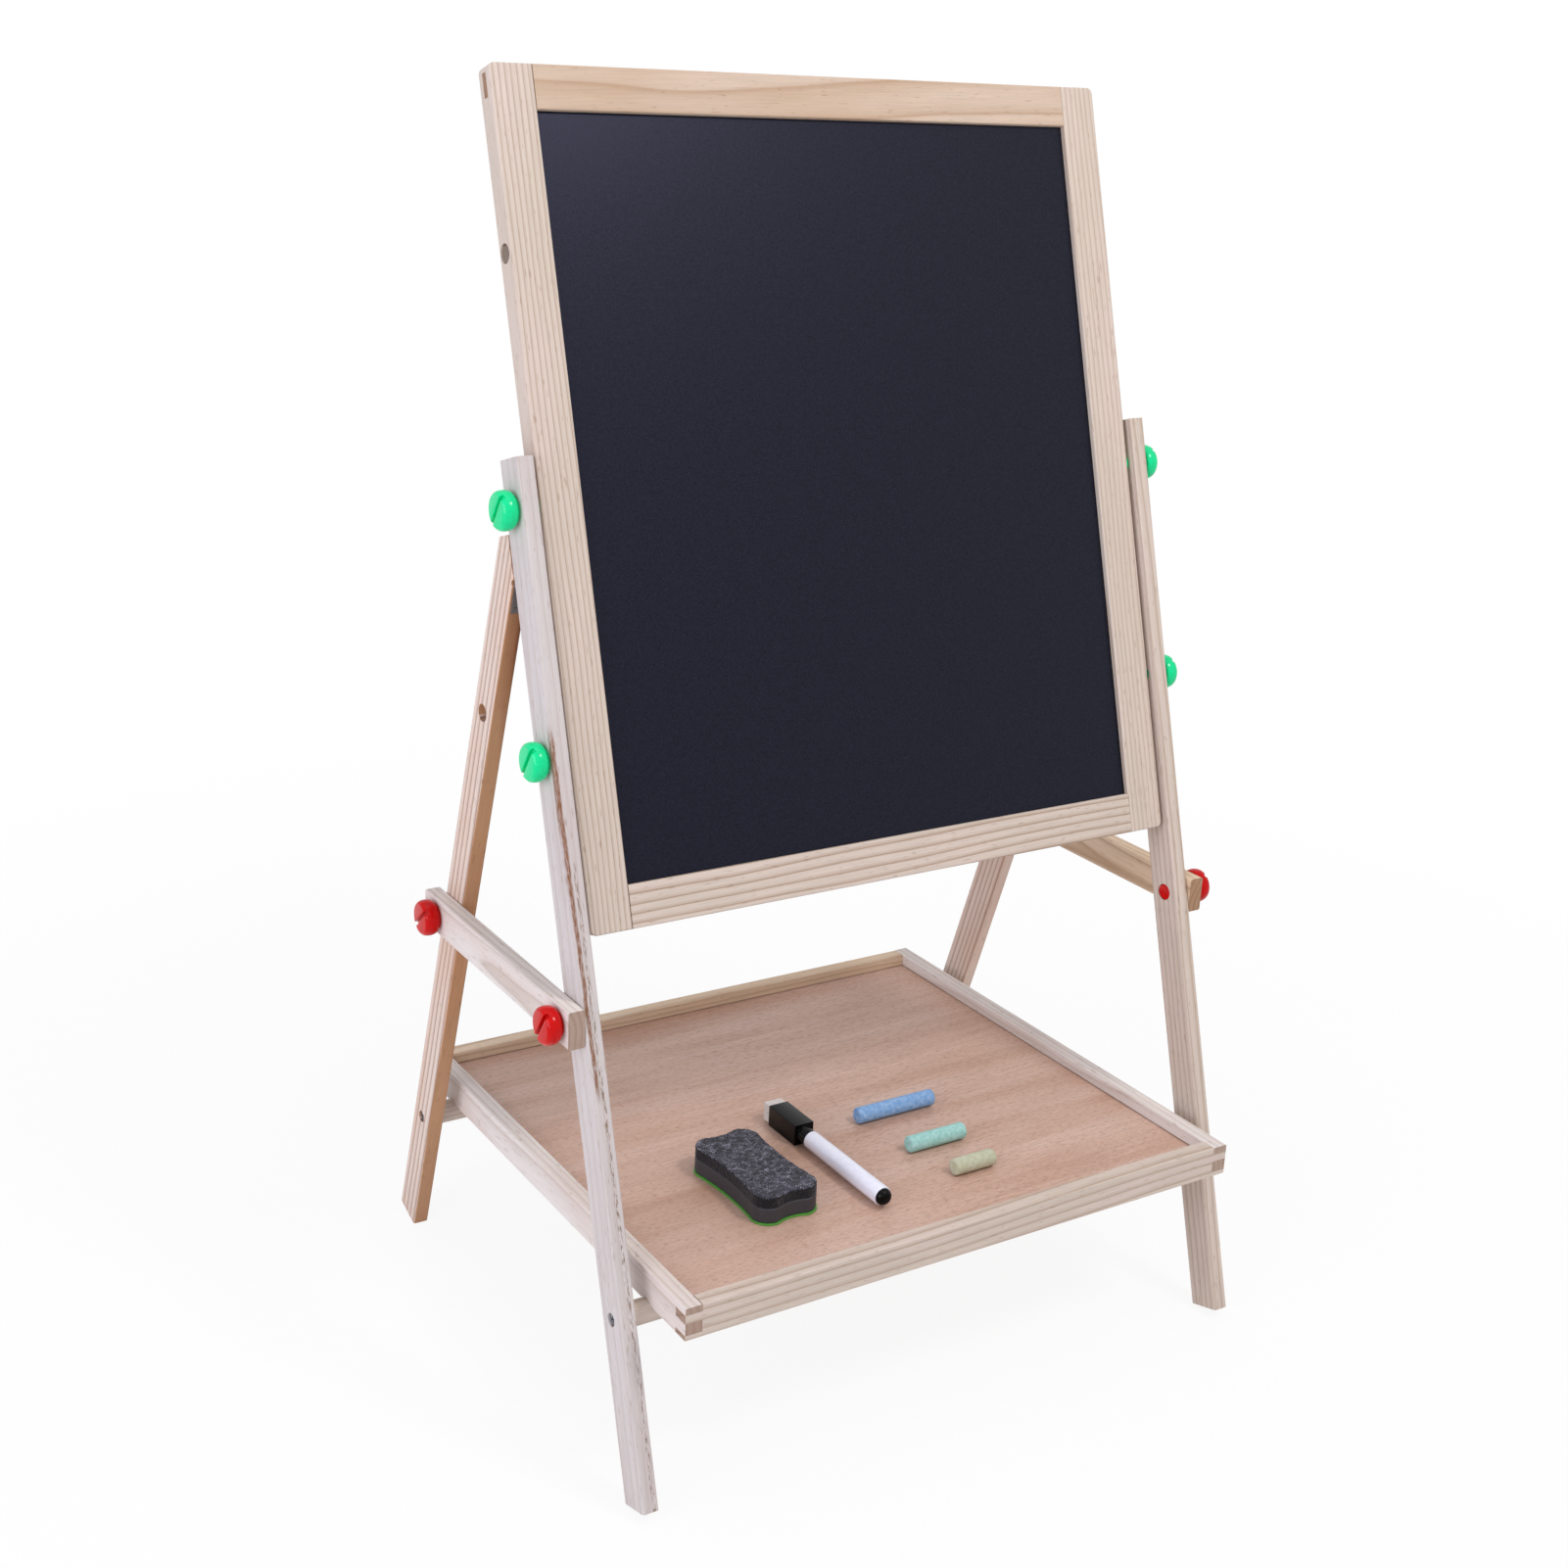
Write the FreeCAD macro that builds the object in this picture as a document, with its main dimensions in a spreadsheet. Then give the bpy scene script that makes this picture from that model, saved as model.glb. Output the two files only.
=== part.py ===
import FreeCAD, Part
import math
import os
import re

import Sketcher

# A child's double-sided easel in pine.  Two long front legs lean back, two shorter rear legs
# lean forward and are hinged to them.  A framed board (chalk in front, dry-wipe behind) hangs
# between the front legs on plastic bolts, side braces hold the legs apart, and an open tray
# rests on two dowels.  Millimetres; X to the right, Y to the back, Z up.

SIZES = {
    # legs
    "front_leg_length": 545, "front_leg_depth": 21, "leg_thickness": 9.4, "legs_inside": 388.5,
    "front_lean": 19.7, "rear_leg_depth": 22, "rear_lean": 14.9, "leg_edge_round": 1.2,
    # butt hinges between the legs
    "hinge_height": 483, "pin_offset": 1.3, "pin_radius": 1, "knuckle_radius": 2,
    "leaf_length": 18, "leaf_thickness": 1, "leaf_inset": 1.3, "rear_leg_over_hinge": 25,
    "hinge_screw_radius": 1.3, "hinge_screw_head_radius": 2.3, "hinge_screw_length": 8,
    "hinge_screw_end_gap": 0.4, "hinge_slot_depth": 0.4, "hinge_slot_width": 0.6,
    # the screws' places down the leaf, as shares of its length
    "upper_screw_share": 0.36, "lower_screw_share": 0.8, "pin_end_stand": 0.1,
    # board
    "board_height": 437, "board_bottom": 301, "board_thickness": 13, "board_setback": 4.1,
    "board_side_gap": 2.3, "stile_width": 23.8, "top_rail_height": 22.5, "bottom_rail_height": 23,
    "board_corner_round": 3.5, "board_edge_round": 0.9, "front_lip": 3.2, "sheet_thickness": 3,
    "groove_depth": 6, "tenon_thickness": 4, "tenon_height": 12, "tenon_edge": 4,
    "bolt_hole_spacing": 126.4, "stile_hole_depth": 17,
    # plastic bolts
    "bolt_radius": 4.9, "bolt_head_radius": 9.8, "bolt_head_height": 8.2, "bolt_head_bulge": 0.6,
    "bolt_collar_radius": 7.4, "bolt_collar_height": 1.8, "bolt_slot_width": 2.6, "bolt_slot_depth": 2.4,
    "red_bolt_height": 260, "rear_bolt_height": 245.5, "spare_hole_height": 383.5,
    "upper_bolt_reach": 15, "bolt_face_chamfer": 1.2, "bolt_back_chamfer": 0.8, "bolt_tip_chamfer": 0.6,
    "bolt_slot_turn": -40,
    # side braces
    "brace_thickness": 9.5, "brace_depth": 21, "brace_front_overhang": 12, "brace_rear_overhang": 15.5,
    # dowels and their screws
    "dowel_radius": 6.75, "front_dowel_height": 101.8, "rear_dowel_height": 84,
    "dowel_screw_radius": 2, "dowel_screw_length": 34, "screw_head_radius": 3.6, "screw_head_height": 2,
    "screw_recess": 3, "cross_depth": 1.1, "cross_length": 4, "cross_width": 0.9,
    # tray
    "tray_width": 367, "tray_front": 41.5, "tray_back": 288, "tray_height": 18.7, "tray_wall": 10,
    "tray_over_dowel": 5, "tray_rim_over_floor": 7.8, "tray_floor_thickness": 4,
    "tray_groove_depth": 4, "top_finger": 4, "second_finger": 5, "third_finger": 6.8,
    "tray_edge_round": 0.9,
    # eraser
    "eraser_across": -83.8, "eraser_along": 56.5, "eraser_length": 78.5, "eraser_width": 41.5,
    "eraser_waist": 37, "eraser_base_height": 1, "eraser_body_height": 9, "eraser_felt_height": 7,
    "eraser_turn": 2, "eraser_lobe": 11, "eraser_end_dip": 2, "eraser_lobe_bulge": 0.32,
    "eraser_body_inset": 0.6, "eraser_felt_inset": 0.5,
    # marker
    "marker_across": -30.8, "marker_along": 2, "marker_radius": 5.6, "marker_plug_length": 4,
    "marker_barrel_length": 74, "marker_neck_radius": 4, "marker_neck_length": 14,
    "cap_width": 13, "cap_length": 37, "cap_wall": 1.4,
    "cap_collar_length": 7.7, "cap_collar_radius": 5, "cap_felt_length": 7, "cap_felt_inset": 0.5,
    "nib_radius": 1.8, "nib_length": 6, "marker_plug_inset": 0.6,
    # chalk
    "chalk_radius": 5, "blue_length": 55, "blue_across": 38.5, "blue_along": 94.3,
    "green_length": 39.5, "green_across": 37.8, "green_along": 50.5, "yellow_length": 28,
    "yellow_across": 39.6, "yellow_along": 16.1,
    # clearances
    "running": 0.1, "stile_running": 0.1, "tray_floor_play": 0.5, "seat_gap": 0.3,
    "joinery_gap": 0.1, "pin_running": 0.06,
}

# Lengths and angles that follow from the sizes.  Each is a formula over the names above and
# the ones before it.
DERIVED = {
    "half_inside": "legs_inside / 2",
    "half_outside": "half_inside + leg_thickness",
    "fold": "front_lean + rear_lean",
    # depth of the bolt axis behind the front legs' back face, at the middle of the board
    "bolt_depth": "front_leg_depth - board_setback - board_thickness / 2",
    "rear_mid": "rear_leg_depth / 2",
    "front_mid": "front_leg_depth / 2",
    # hinge pin, measured from the front foot's rear edge
    "pin_y": "hinge_height * sin(front_lean) + pin_offset * cos(front_lean)",
    "pin_z": "hinge_height * cos(front_lean) - pin_offset * sin(front_lean)",
    "pin_to_foot": "(pin_z + pin_offset * sin(rear_lean)) / cos(rear_lean)",
    "foot_spread": "pin_y + pin_offset * cos(rear_lean) + pin_to_foot * sin(rear_lean)",
    "front_dowel_y": "front_dowel_height * sin(front_lean) - front_mid * cos(front_lean)",
    "front_dowel_z": "front_dowel_height * cos(front_lean) + front_mid * sin(front_lean)",
    "rear_dowel_y": "foot_spread - rear_dowel_height * sin(rear_lean) + rear_mid * cos(rear_lean)",
    "rear_dowel_z": "rear_dowel_height * cos(rear_lean) + rear_mid * sin(rear_lean)",
    "dowel_run": "rear_dowel_y - front_dowel_y",
    "dowel_rise": "rear_dowel_z - front_dowel_z",
    "dowel_spacing": "sqrt(dowel_run ^ 2 + dowel_rise ^ 2)",
    "tray_tilt": "atan(dowel_rise / dowel_run)",
    "red_y": "red_bolt_height * sin(front_lean) - bolt_depth * cos(front_lean)",
    "red_z": "red_bolt_height * cos(front_lean) + bolt_depth * sin(front_lean)",
    "rear_red_y": "foot_spread - rear_bolt_height * sin(rear_lean) + rear_mid * cos(rear_lean)",
    "rear_red_z": "rear_bolt_height * cos(rear_lean) + rear_mid * sin(rear_lean)",
    "brace_run": "rear_red_y - red_y",
    "brace_rise": "rear_red_z - red_z",
    "brace_spacing": "sqrt(brace_run ^ 2 + brace_rise ^ 2)",
    "brace_tilt": "atan(brace_rise / brace_run)",
    # the easel's footprint runs from the front feet to the tray's back
    "rearmost": "front_dowel_y + tray_back * cos(tray_tilt)"
                " - (tray_over_dowel + tray_height) * sin(tray_tilt)",
    "front_foot": "(front_leg_depth * cos(front_lean) - rearmost) / 2",
    "upper_bolt_height": "board_bottom + board_height / 2",
    "lower_bolt_height": "upper_bolt_height - bolt_hole_spacing",
    "board_half": "half_inside - board_side_gap",
    "board_front": "board_setback - front_leg_depth",
    "board_back": "board_front + board_thickness",
    "board_top": "board_bottom + board_height",
    "groove_front": "board_front + front_lip",
    "groove_back": "groove_front + 2 * sheet_thickness + joinery_gap",
    "opening_half": "board_half - stile_width",
    "opening_bottom": "board_bottom + bottom_rail_height",
    "opening_top": "board_top - top_rail_height",
    "hole_radius": "bolt_radius + running",
    "stile_hole_radius": "bolt_radius + stile_running",
    "brace_inner": "half_outside + seat_gap",
    "brace_outer": "brace_inner + brace_thickness",
    "knuckle_room": "knuckle_radius + seat_gap",
    "leaf_start": "half_inside + leaf_inset",
    "leaf_width": "leg_thickness - 2 * leaf_inset",
    "knuckle_third": "leaf_width / 3",
    # the rear leg's top is cut along the front leg's back face and square to that leg
    "cut_back": "seat_gap - pin_offset",
    "cut_low": "(pin_offset - cut_back * cos(fold)) / sin(fold)",
    "cut_high": "(rear_leg_depth + pin_offset - rear_leg_over_hinge * sin(fold)) / cos(fold)",
    # tray, measured from the front dowel's axis
    "tray_half": "tray_width / 2",
    "tray_bottom": "tray_over_dowel",
    "tray_top": "tray_bottom + tray_height",
    "floor_top": "tray_top - tray_rim_over_floor",
    "floor_bottom": "floor_top - tray_floor_thickness",
    "first_cut": "tray_top - top_finger",
    "second_cut": "first_cut - second_finger",
    "third_cut": "second_cut - third_finger",
    "notch_radius": "dowel_radius + seat_gap",
    "laid": "floor_top + seat_gap",
    # the marker lies on its square cap
    "cap_bottom": "laid",
    "marker_axis": "cap_bottom + cap_width / 2",
    "barrel_start": "marker_along + marker_plug_length",
    "barrel_end": "barrel_start + marker_barrel_length",
    "neck_end": "barrel_end + marker_neck_length",
    "cap_start": "barrel_end + seat_gap",
    "cap_end": "cap_start + cap_length",
}


def expand(formula):
    """Turn a formula over size names into one over the spreadsheet's cells."""
    def cell(word):
        name = word.group(0)
        if name in SIZES:
            return "Sizes." + name
        if name in DERIVED:
            return "(" + expand(DERIVED[name]) + ")"
        return name
    return re.sub(r"[a-z][a-z_]+", cell, str(formula))


def value(formula):
    """The present value of a formula, as a plain number."""
    found = sheet.evalExpression(expand(formula))
    return float(getattr(found, "Value", found))


def bind(thing, prop, formula):
    """Tie a property to a formula over the sizes."""
    thing.setExpression(prop, expand(formula))


doc = FreeCAD.newDocument("KidsEasel")
sheet = doc.addObject("Spreadsheet::Sheet", "Sizes")
for row, (alias, number) in enumerate(SIZES.items(), start=1):
    sheet.set(f"A{row}", alias)
    sheet.set(f"B{row}", str(number))
    sheet.setAlias(f"B{row}", alias)
doc.recompute()

# Where each group of pieces is measured from: the Y and Z of its origin and its tilt about X.
FRONT = ("front_foot", "0", "-front_lean")
REAR = ("front_foot + foot_spread", "0", "rear_lean")
TRAY = ("front_foot + front_dowel_y", "front_dowel_z", "tray_tilt")
BRACE = ("front_foot + red_y", "red_z", "brace_tilt")

SUB_PARTS = []


def seat(thing, label, frame):
    """Name a sub-part and place it in its frame.  A single primitive goes in a group, because
    its own placement already holds its offset."""
    if thing.TypeId in ("Part::Box", "Part::Cylinder"):
        thing = pieces(thing)
    y, z, tilt = frame
    thing.Placement = FreeCAD.Placement(FreeCAD.Vector(), FreeCAD.Rotation(FreeCAD.Vector(1, 0, 0), 10))
    bind(thing, "Placement.Base.y", y)
    bind(thing, "Placement.Base.z", z)
    bind(thing, "Placement.Rotation.Angle", tilt)
    thing.Label = label
    SUB_PARTS.append(thing)
    return thing


# ---- sketches ----------------------------------------------------------------------------

def new_sketch(body, plane, offset="0"):
    """An empty sketch on one of the body's own planes, moved along the plane's normal."""
    sketch = body.newObject("Sketcher::SketchObject", "Sketch")
    base = [o for o in body.Origin.OriginFeatures if o.Role == plane][0]
    sketch.AttachmentSupport = [(base, "")]
    sketch.MapMode = "FlatFace"
    bind(sketch, "AttachmentOffset.Base.z", offset)
    return sketch


def pin_point(sketch, item, position, across, up):
    """Fix one sketch point at two formulas."""
    for kind, axis, formula in (("DistanceX", -2, across), ("DistanceY", -1, up)):
        number = value(formula)
        if abs(number) < 1e-9:
            sketch.addConstraint(Sketcher.Constraint("PointOnObject", item, position, axis))
            continue
        index = sketch.addConstraint(Sketcher.Constraint(kind, -1, 1, item, position, number))
        bind(sketch, f"Constraints[{index}]", formula)


def arc_through(start, end, bow):
    """An arc from start to end that bows outward by bow, or inward if bow is negative.  Sketch
    arcs run anticlockwise, so an inward one is drawn from its end to its start."""
    along = end - start
    out = FreeCAD.Vector(along.y, -along.x, 0).normalize()
    radius = (along.Length ** 2 / 4 + bow ** 2) / (2 * abs(bow))
    centre = (start + end) * 0.5 + out * (bow - math.copysign(radius, bow))
    first, last = (start, end) if bow > 0 else (end, start)
    angles = [math.atan2(p.y - centre.y, p.x - centre.x) for p in (first, last)]
    if angles[1] < angles[0]:
        angles[1] += 2 * math.pi
    return Part.ArcOfCircle(Part.Circle(centre, FreeCAD.Vector(0, 0, 1), radius), *angles)


def outline(sketch, points):
    """A closed outline, anticlockwise.  A third entry on a point is how far the side that
    starts there bows outward, as an arc."""
    first = sketch.GeometryCount
    spots = [FreeCAD.Vector(value(p[0]), value(p[1]), 0) for p in points]
    ends = []
    for i, point in enumerate(points):
        start, end = spots[i], spots[(i + 1) % len(spots)]
        if len(point) == 3:
            bow = value(point[2])
            sketch.addGeometry(arc_through(start, end, bow), False)
            ends.append((1, 2) if bow > 0 else (2, 1))
        else:
            sketch.addGeometry(Part.LineSegment(start, end), False)
            ends.append((1, 2))
    for i, point in enumerate(points):
        after = (i + 1) % len(points)
        sketch.addConstraint(Sketcher.Constraint("Coincident", first + i, ends[i][1], first + after,
                                                 ends[after][0]))
        pin_point(sketch, first + i, ends[i][0], point[0], point[1])
    for i, point in enumerate(points):
        if len(point) == 3:
            after = points[(i + 1) % len(points)]
            chord = f"sqrt(({after[0]} - ({point[0]})) ^ 2 + ({after[1]} - ({point[1]})) ^ 2)"
            radius = f"(({chord}) ^ 2 / 4 + ({point[2]}) ^ 2) / (2 * abs({point[2]}))"
            index = sketch.addConstraint(Sketcher.Constraint("Radius", first + i, value(radius)))
            bind(sketch, f"Constraints[{index}]", radius)


def rectangle(sketch, left, bottom, right, top):
    outline(sketch, [(left, bottom), (right, bottom), (right, top), (left, top)])


def ring(sketch, across, up, radius):
    """A full circle."""
    centre = FreeCAD.Vector(value(across), value(up), 0)
    item = sketch.addGeometry(Part.Circle(centre, FreeCAD.Vector(0, 0, 1), value(radius)), False)
    index = sketch.addConstraint(Sketcher.Constraint("Radius", item, value(radius)))
    bind(sketch, f"Constraints[{index}]", radius)
    pin_point(sketch, item, 3, across, up)


def pad(body, sketch, length, reverse=False):
    feature = body.newObject("PartDesign::Pad", "Pad")
    feature.Profile = sketch
    bind(feature, "Length", length)
    feature.Reversed = reverse
    body.Tip = feature
    return feature


def pocket(body, sketch, depth, toward_positive):
    """Cut a sketch into the body.  The cut has to take material away."""
    doc.recompute()
    before = body.Shape.Volume
    feature = body.newObject("PartDesign::Pocket", "Pocket")
    feature.Profile = sketch
    bind(feature, "Length", depth)
    feature.Reversed = toward_positive
    body.Tip = feature
    doc.recompute()
    if body.Shape.Volume > before - 1e-6:
        raise RuntimeError(f"a pocket in {body.Label} cuts nothing")
    return feature


def round_edges(body, radius, wanted):
    """Fillet the edges of the body that the test picks out."""
    doc.recompute()
    tip = body.Tip
    names = [f"Edge{i}" for i, edge in enumerate(tip.Shape.Edges, start=1) if wanted(edge)]
    if not names:
        raise RuntimeError(f"no edge of {body.Label} to round")
    fillet = body.newObject("PartDesign::Fillet", "Fillet")
    fillet.Base = (tip, names)
    bind(fillet, "Radius", radius)
    body.Tip = fillet
    doc.recompute()


def runs_along(axis, longer_than):
    """A test for straight edges along X (0), Y (1) or Z (2)."""
    def test(edge):
        if edge.Curve.TypeId != "Part::GeomLine" or edge.Length < longer_than:
            return False
        return abs(abs(edge.tangentAt(edge.FirstParameter)[axis]) - 1) < 1e-6
    return test


def new_body(name):
    return doc.addObject("PartDesign::Body", name)


# ---- legs --------------------------------------------------------------------------------

def side_sign(side):
    return 1 if side == "right" else -1


def leg_start(side):
    """X of a leg's face nearest the left, where its pad starts."""
    return "half_inside" if side == "right" else "-half_outside"


def screw_recess(body, side, across, up):
    """Screw hole through the leg, with a wider recess for the head in the outer face."""
    face = "half_outside" if side == "right" else "-half_outside"
    sketch = new_sketch(body, "YZ_Plane", face)
    ring(sketch, across, up, "screw_head_radius + running")
    pocket(body, sketch, "screw_recess", side == "left")


def hinge_screw_holes(body, side, face, toward_back, heights):
    """Pilot holes for the leaf's screws."""
    sketch = new_sketch(body, "XZ_Plane", f"-({face})")
    middle = "half_inside + leg_thickness / 2"
    for height in heights:
        ring(sketch, middle if side == "right" else f"-({middle})", height, "hinge_screw_radius")
    pocket(body, sketch, "hinge_screw_length", not toward_back)


def knuckle_groove(body, across, up):
    """Round groove that makes room for the hinge knuckle."""
    sketch = new_sketch(body, "YZ_Plane", "-half_outside - 1")
    ring(sketch, across, up, "knuckle_room")
    pocket(body, sketch, "2 * half_outside + 2", True)


SCREW_SHARES = ("upper_screw_share", "lower_screw_share")
FRONT_SCREWS = [f"hinge_height - {share} * leaf_length" for share in SCREW_SHARES]
REAR_SCREWS = [f"pin_to_foot - {share} * leaf_length" for share in SCREW_SHARES]


def front_leg(side):
    """A straight bar, cut square at both ends, drilled for three bolts and the dowel's screw."""
    body = new_body("FrontLeg")
    sketch = new_sketch(body, "YZ_Plane", leg_start(side))
    rectangle(sketch, "-front_leg_depth", "0", "0", "front_leg_length")
    for height in ("upper_bolt_height", "lower_bolt_height", "red_bolt_height"):
        ring(sketch, "-bolt_depth", height, "hole_radius")
    ring(sketch, "-front_mid", "front_dowel_height", "dowel_screw_radius + running")
    pad(body, sketch, "leg_thickness")
    round_edges(body, "leg_edge_round", runs_along(2, 100))
    screw_recess(body, side, "-front_mid", "front_dowel_height")
    hinge_screw_holes(body, side, "0", False, FRONT_SCREWS)
    knuckle_groove(body, "pin_offset", "hinge_height")
    return seat(body, f"front_leg_{side}", FRONT)


def rear_leg(side):
    """A shorter bar whose top is cut to lie against the front leg."""
    body = new_body("RearLeg")
    sketch = new_sketch(body, "YZ_Plane", leg_start(side))
    over, back = "rear_leg_over_hinge", "cut_back"
    outline(sketch, [
        ("0", "0"),
        ("rear_leg_depth", "0"),
        ("rear_leg_depth", f"pin_to_foot + {over} * cos(fold) - cut_high * sin(fold)"),
        (f"-pin_offset + {over} * sin(fold) + {back} * cos(fold)",
         f"pin_to_foot + {over} * cos(fold) - {back} * sin(fold)"),
        ("0", f"pin_to_foot + cut_low * cos(fold) - {back} * sin(fold)"),
    ])
    for height in ("rear_bolt_height", "spare_hole_height"):
        ring(sketch, "rear_mid", height, "hole_radius")
    ring(sketch, "rear_mid", "rear_dowel_height", "dowel_screw_radius + running")
    pad(body, sketch, "leg_thickness")
    round_edges(body, "leg_edge_round", runs_along(2, 100))
    screw_recess(body, side, "rear_mid", "rear_dowel_height")
    hinge_screw_holes(body, side, "0", True, REAR_SCREWS)
    knuckle_groove(body, "-pin_offset", "pin_to_foot")
    return seat(body, f"rear_leg_{side}", REAR)


# ---- solids from primitives --------------------------------------------------------------

def box(x, y, z, length, width, height):
    """A block from its lowest corner."""
    made = doc.addObject("Part::Box", "Block")
    for prop, formula in (("Length", length), ("Width", width), ("Height", height),
                          ("Placement.Base.x", x), ("Placement.Base.y", y), ("Placement.Base.z", z)):
        bind(made, prop, formula)
    return made


TURN = {
    "x": FreeCAD.Rotation(FreeCAD.Vector(0, 1, 0), 90),
    "y": FreeCAD.Rotation(FreeCAD.Vector(1, 0, 0), -90),
    "z": FreeCAD.Rotation(),
}


def cylinder(axis, x, y, z, radius, length):
    """A round bar from the middle of its lower end, running along +axis."""
    made = doc.addObject("Part::Cylinder", "Bar")
    made.Placement = FreeCAD.Placement(FreeCAD.Vector(), TURN[axis])
    for prop, formula in (("Radius", radius), ("Height", length), ("Placement.Base.x", x),
                          ("Placement.Base.y", y), ("Placement.Base.z", z)):
        bind(made, prop, formula)
    return made


def fuse(*things):
    made = doc.addObject("Part::MultiFuse", "Union")
    made.Shapes = list(things)
    return made


def cut(base, tool):
    made = doc.addObject("Part::Cut", "Cut")
    made.Base = base
    made.Tool = tool
    return made


def pieces(*things):
    """Separate solids kept together as one sub-part."""
    made = doc.addObject("Part::Compound", "Group")
    made.Links = list(things)
    return made


def span(side, near, length):
    """The lower X of something that starts at near from the middle and runs outward."""
    return f"({near})" if side == "right" else f"-({near}) - ({length})"


# ---- hinges ------------------------------------------------------------------------------

def leaf(side, label, frame, pin, away, heights, third):
    """Half a butt hinge: a plate on the leg's face, its knuckles and its screw holes.
    away is +1 if the plate lies on the +Y side of the face; third lists the knuckles."""
    low = "0" if away > 0 else "-leaf_thickness"
    parts = [box(span(side, "leaf_start", "leaf_width"), low, f"({pin[1]}) - leaf_length",
                 "leaf_width", "leaf_thickness", "leaf_length - knuckle_room")]
    width = "knuckle_third - seat_gap / 2"
    for number in third:
        start = f"leaf_start + {number} * (knuckle_third + seat_gap / 4)"
        near = span(side, start, width)
        parts.append(cylinder("x", near, pin[0], pin[1], "knuckle_radius", width))
        parts.append(box(near, low, f"({pin[1]}) - knuckle_room - 0.5", width, "leaf_thickness",
                         "knuckle_room + 0.5"))
    holes = [cylinder("x", span(side, "leaf_start - 1", "leaf_width + 2"), pin[0], pin[1],
                      "pin_radius + pin_running", "leaf_width + 2")]
    middle = "half_inside + leg_thickness / 2"
    for height in heights:
        holes.append(cylinder("y", middle if side == "right" else f"-({middle})", "-3", height,
                              "hinge_screw_head_radius + running", "6"))
    return seat(cut(fuse(*parts), fuse(*holes)), label, frame)


def hinge_screws(label, frame, inward, heights):
    """Four countersunk screws, two to a leaf.  inward is the sign of Y into the leg."""
    made = []
    middle = "half_inside + leg_thickness / 2"
    shank = "hinge_screw_length - hinge_screw_end_gap"
    if inward > 0:
        head_start, shank_start = "-leaf_thickness", "-leaf_thickness / 2"
        slot_start = "-leaf_thickness - 0.1"
    else:
        head_start, shank_start = "0", f"-({shank})"
        slot_start = "leaf_thickness - hinge_slot_depth"
    for sign in ("-1", "1"):
        for height in heights:
            at = f"{sign} * ({middle})"
            head = cylinder("y", at, head_start, height, "hinge_screw_head_radius", "leaf_thickness")
            body = cylinder("y", at, shank_start, height, "hinge_screw_radius",
                            f"{shank} + leaf_thickness / 2")
            slot = box(f"{at} - hinge_screw_head_radius - 0.2", slot_start,
                       f"{height} - hinge_slot_width / 2", "2 * hinge_screw_head_radius + 0.4",
                       "hinge_slot_depth + 0.1", "hinge_slot_width")
            made.append(cut(fuse(head, body), slot))
    return seat(pieces(*made), label, frame)


def hinge_pin(side):
    length = "leaf_width + 2 * pin_end_stand"
    pin = cylinder("x", span(side, "leaf_start - pin_end_stand", length), "pin_offset", "hinge_height",
                   "pin_radius", length)
    return seat(pin, f"hinge_pin_{side}", FRONT)


# ---- dowels ------------------------------------------------------------------------------

def dowel(label, frame, y, z):
    """A round rod between the legs, with a pilot hole in each end."""
    rod = cylinder("x", "-half_inside", y, z, "dowel_radius", "legs_inside")
    reach = "dowel_screw_length - leg_thickness + screw_recess"
    left = cylinder("x", "-half_inside - 1", y, z, "dowel_screw_radius", f"{reach} + 1")
    right = cylinder("x", f"half_inside - ({reach})", y, z, "dowel_screw_radius", f"{reach} + 1")
    return seat(cut(rod, fuse(left, right)), label, frame)


def dowel_screws(label, frame, y, z):
    """One screw in each end of a dowel, its head sunk below the leg's outer face."""
    made = []
    for side in ("left", "right"):
        head_at = "half_outside - screw_recess"
        head = cylinder("x", span(side, head_at, "screw_head_height"), y, z, "screw_head_radius",
                        "screw_head_height")
        shank_at = "half_outside - screw_recess - dowel_screw_length + screw_head_height"
        shank = cylinder("x", span(side, shank_at, "dowel_screw_length"), y, z, "dowel_screw_radius",
                         "dowel_screw_length")
        deep = "cross_depth + 0.1"
        top = span(side, f"{head_at} + screw_head_height - cross_depth", deep)
        cross = fuse(box(top, f"{y} - cross_length / 2", f"{z} - cross_width / 2", deep, "cross_length",
                         "cross_width"),
                     box(top, f"{y} - cross_width / 2", f"{z} - cross_length / 2", deep, "cross_width",
                         "cross_length"))
        made.append(cut(fuse(head, shank), cross))
    return seat(pieces(*made), label, frame)


# ---- board -------------------------------------------------------------------------------

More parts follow.
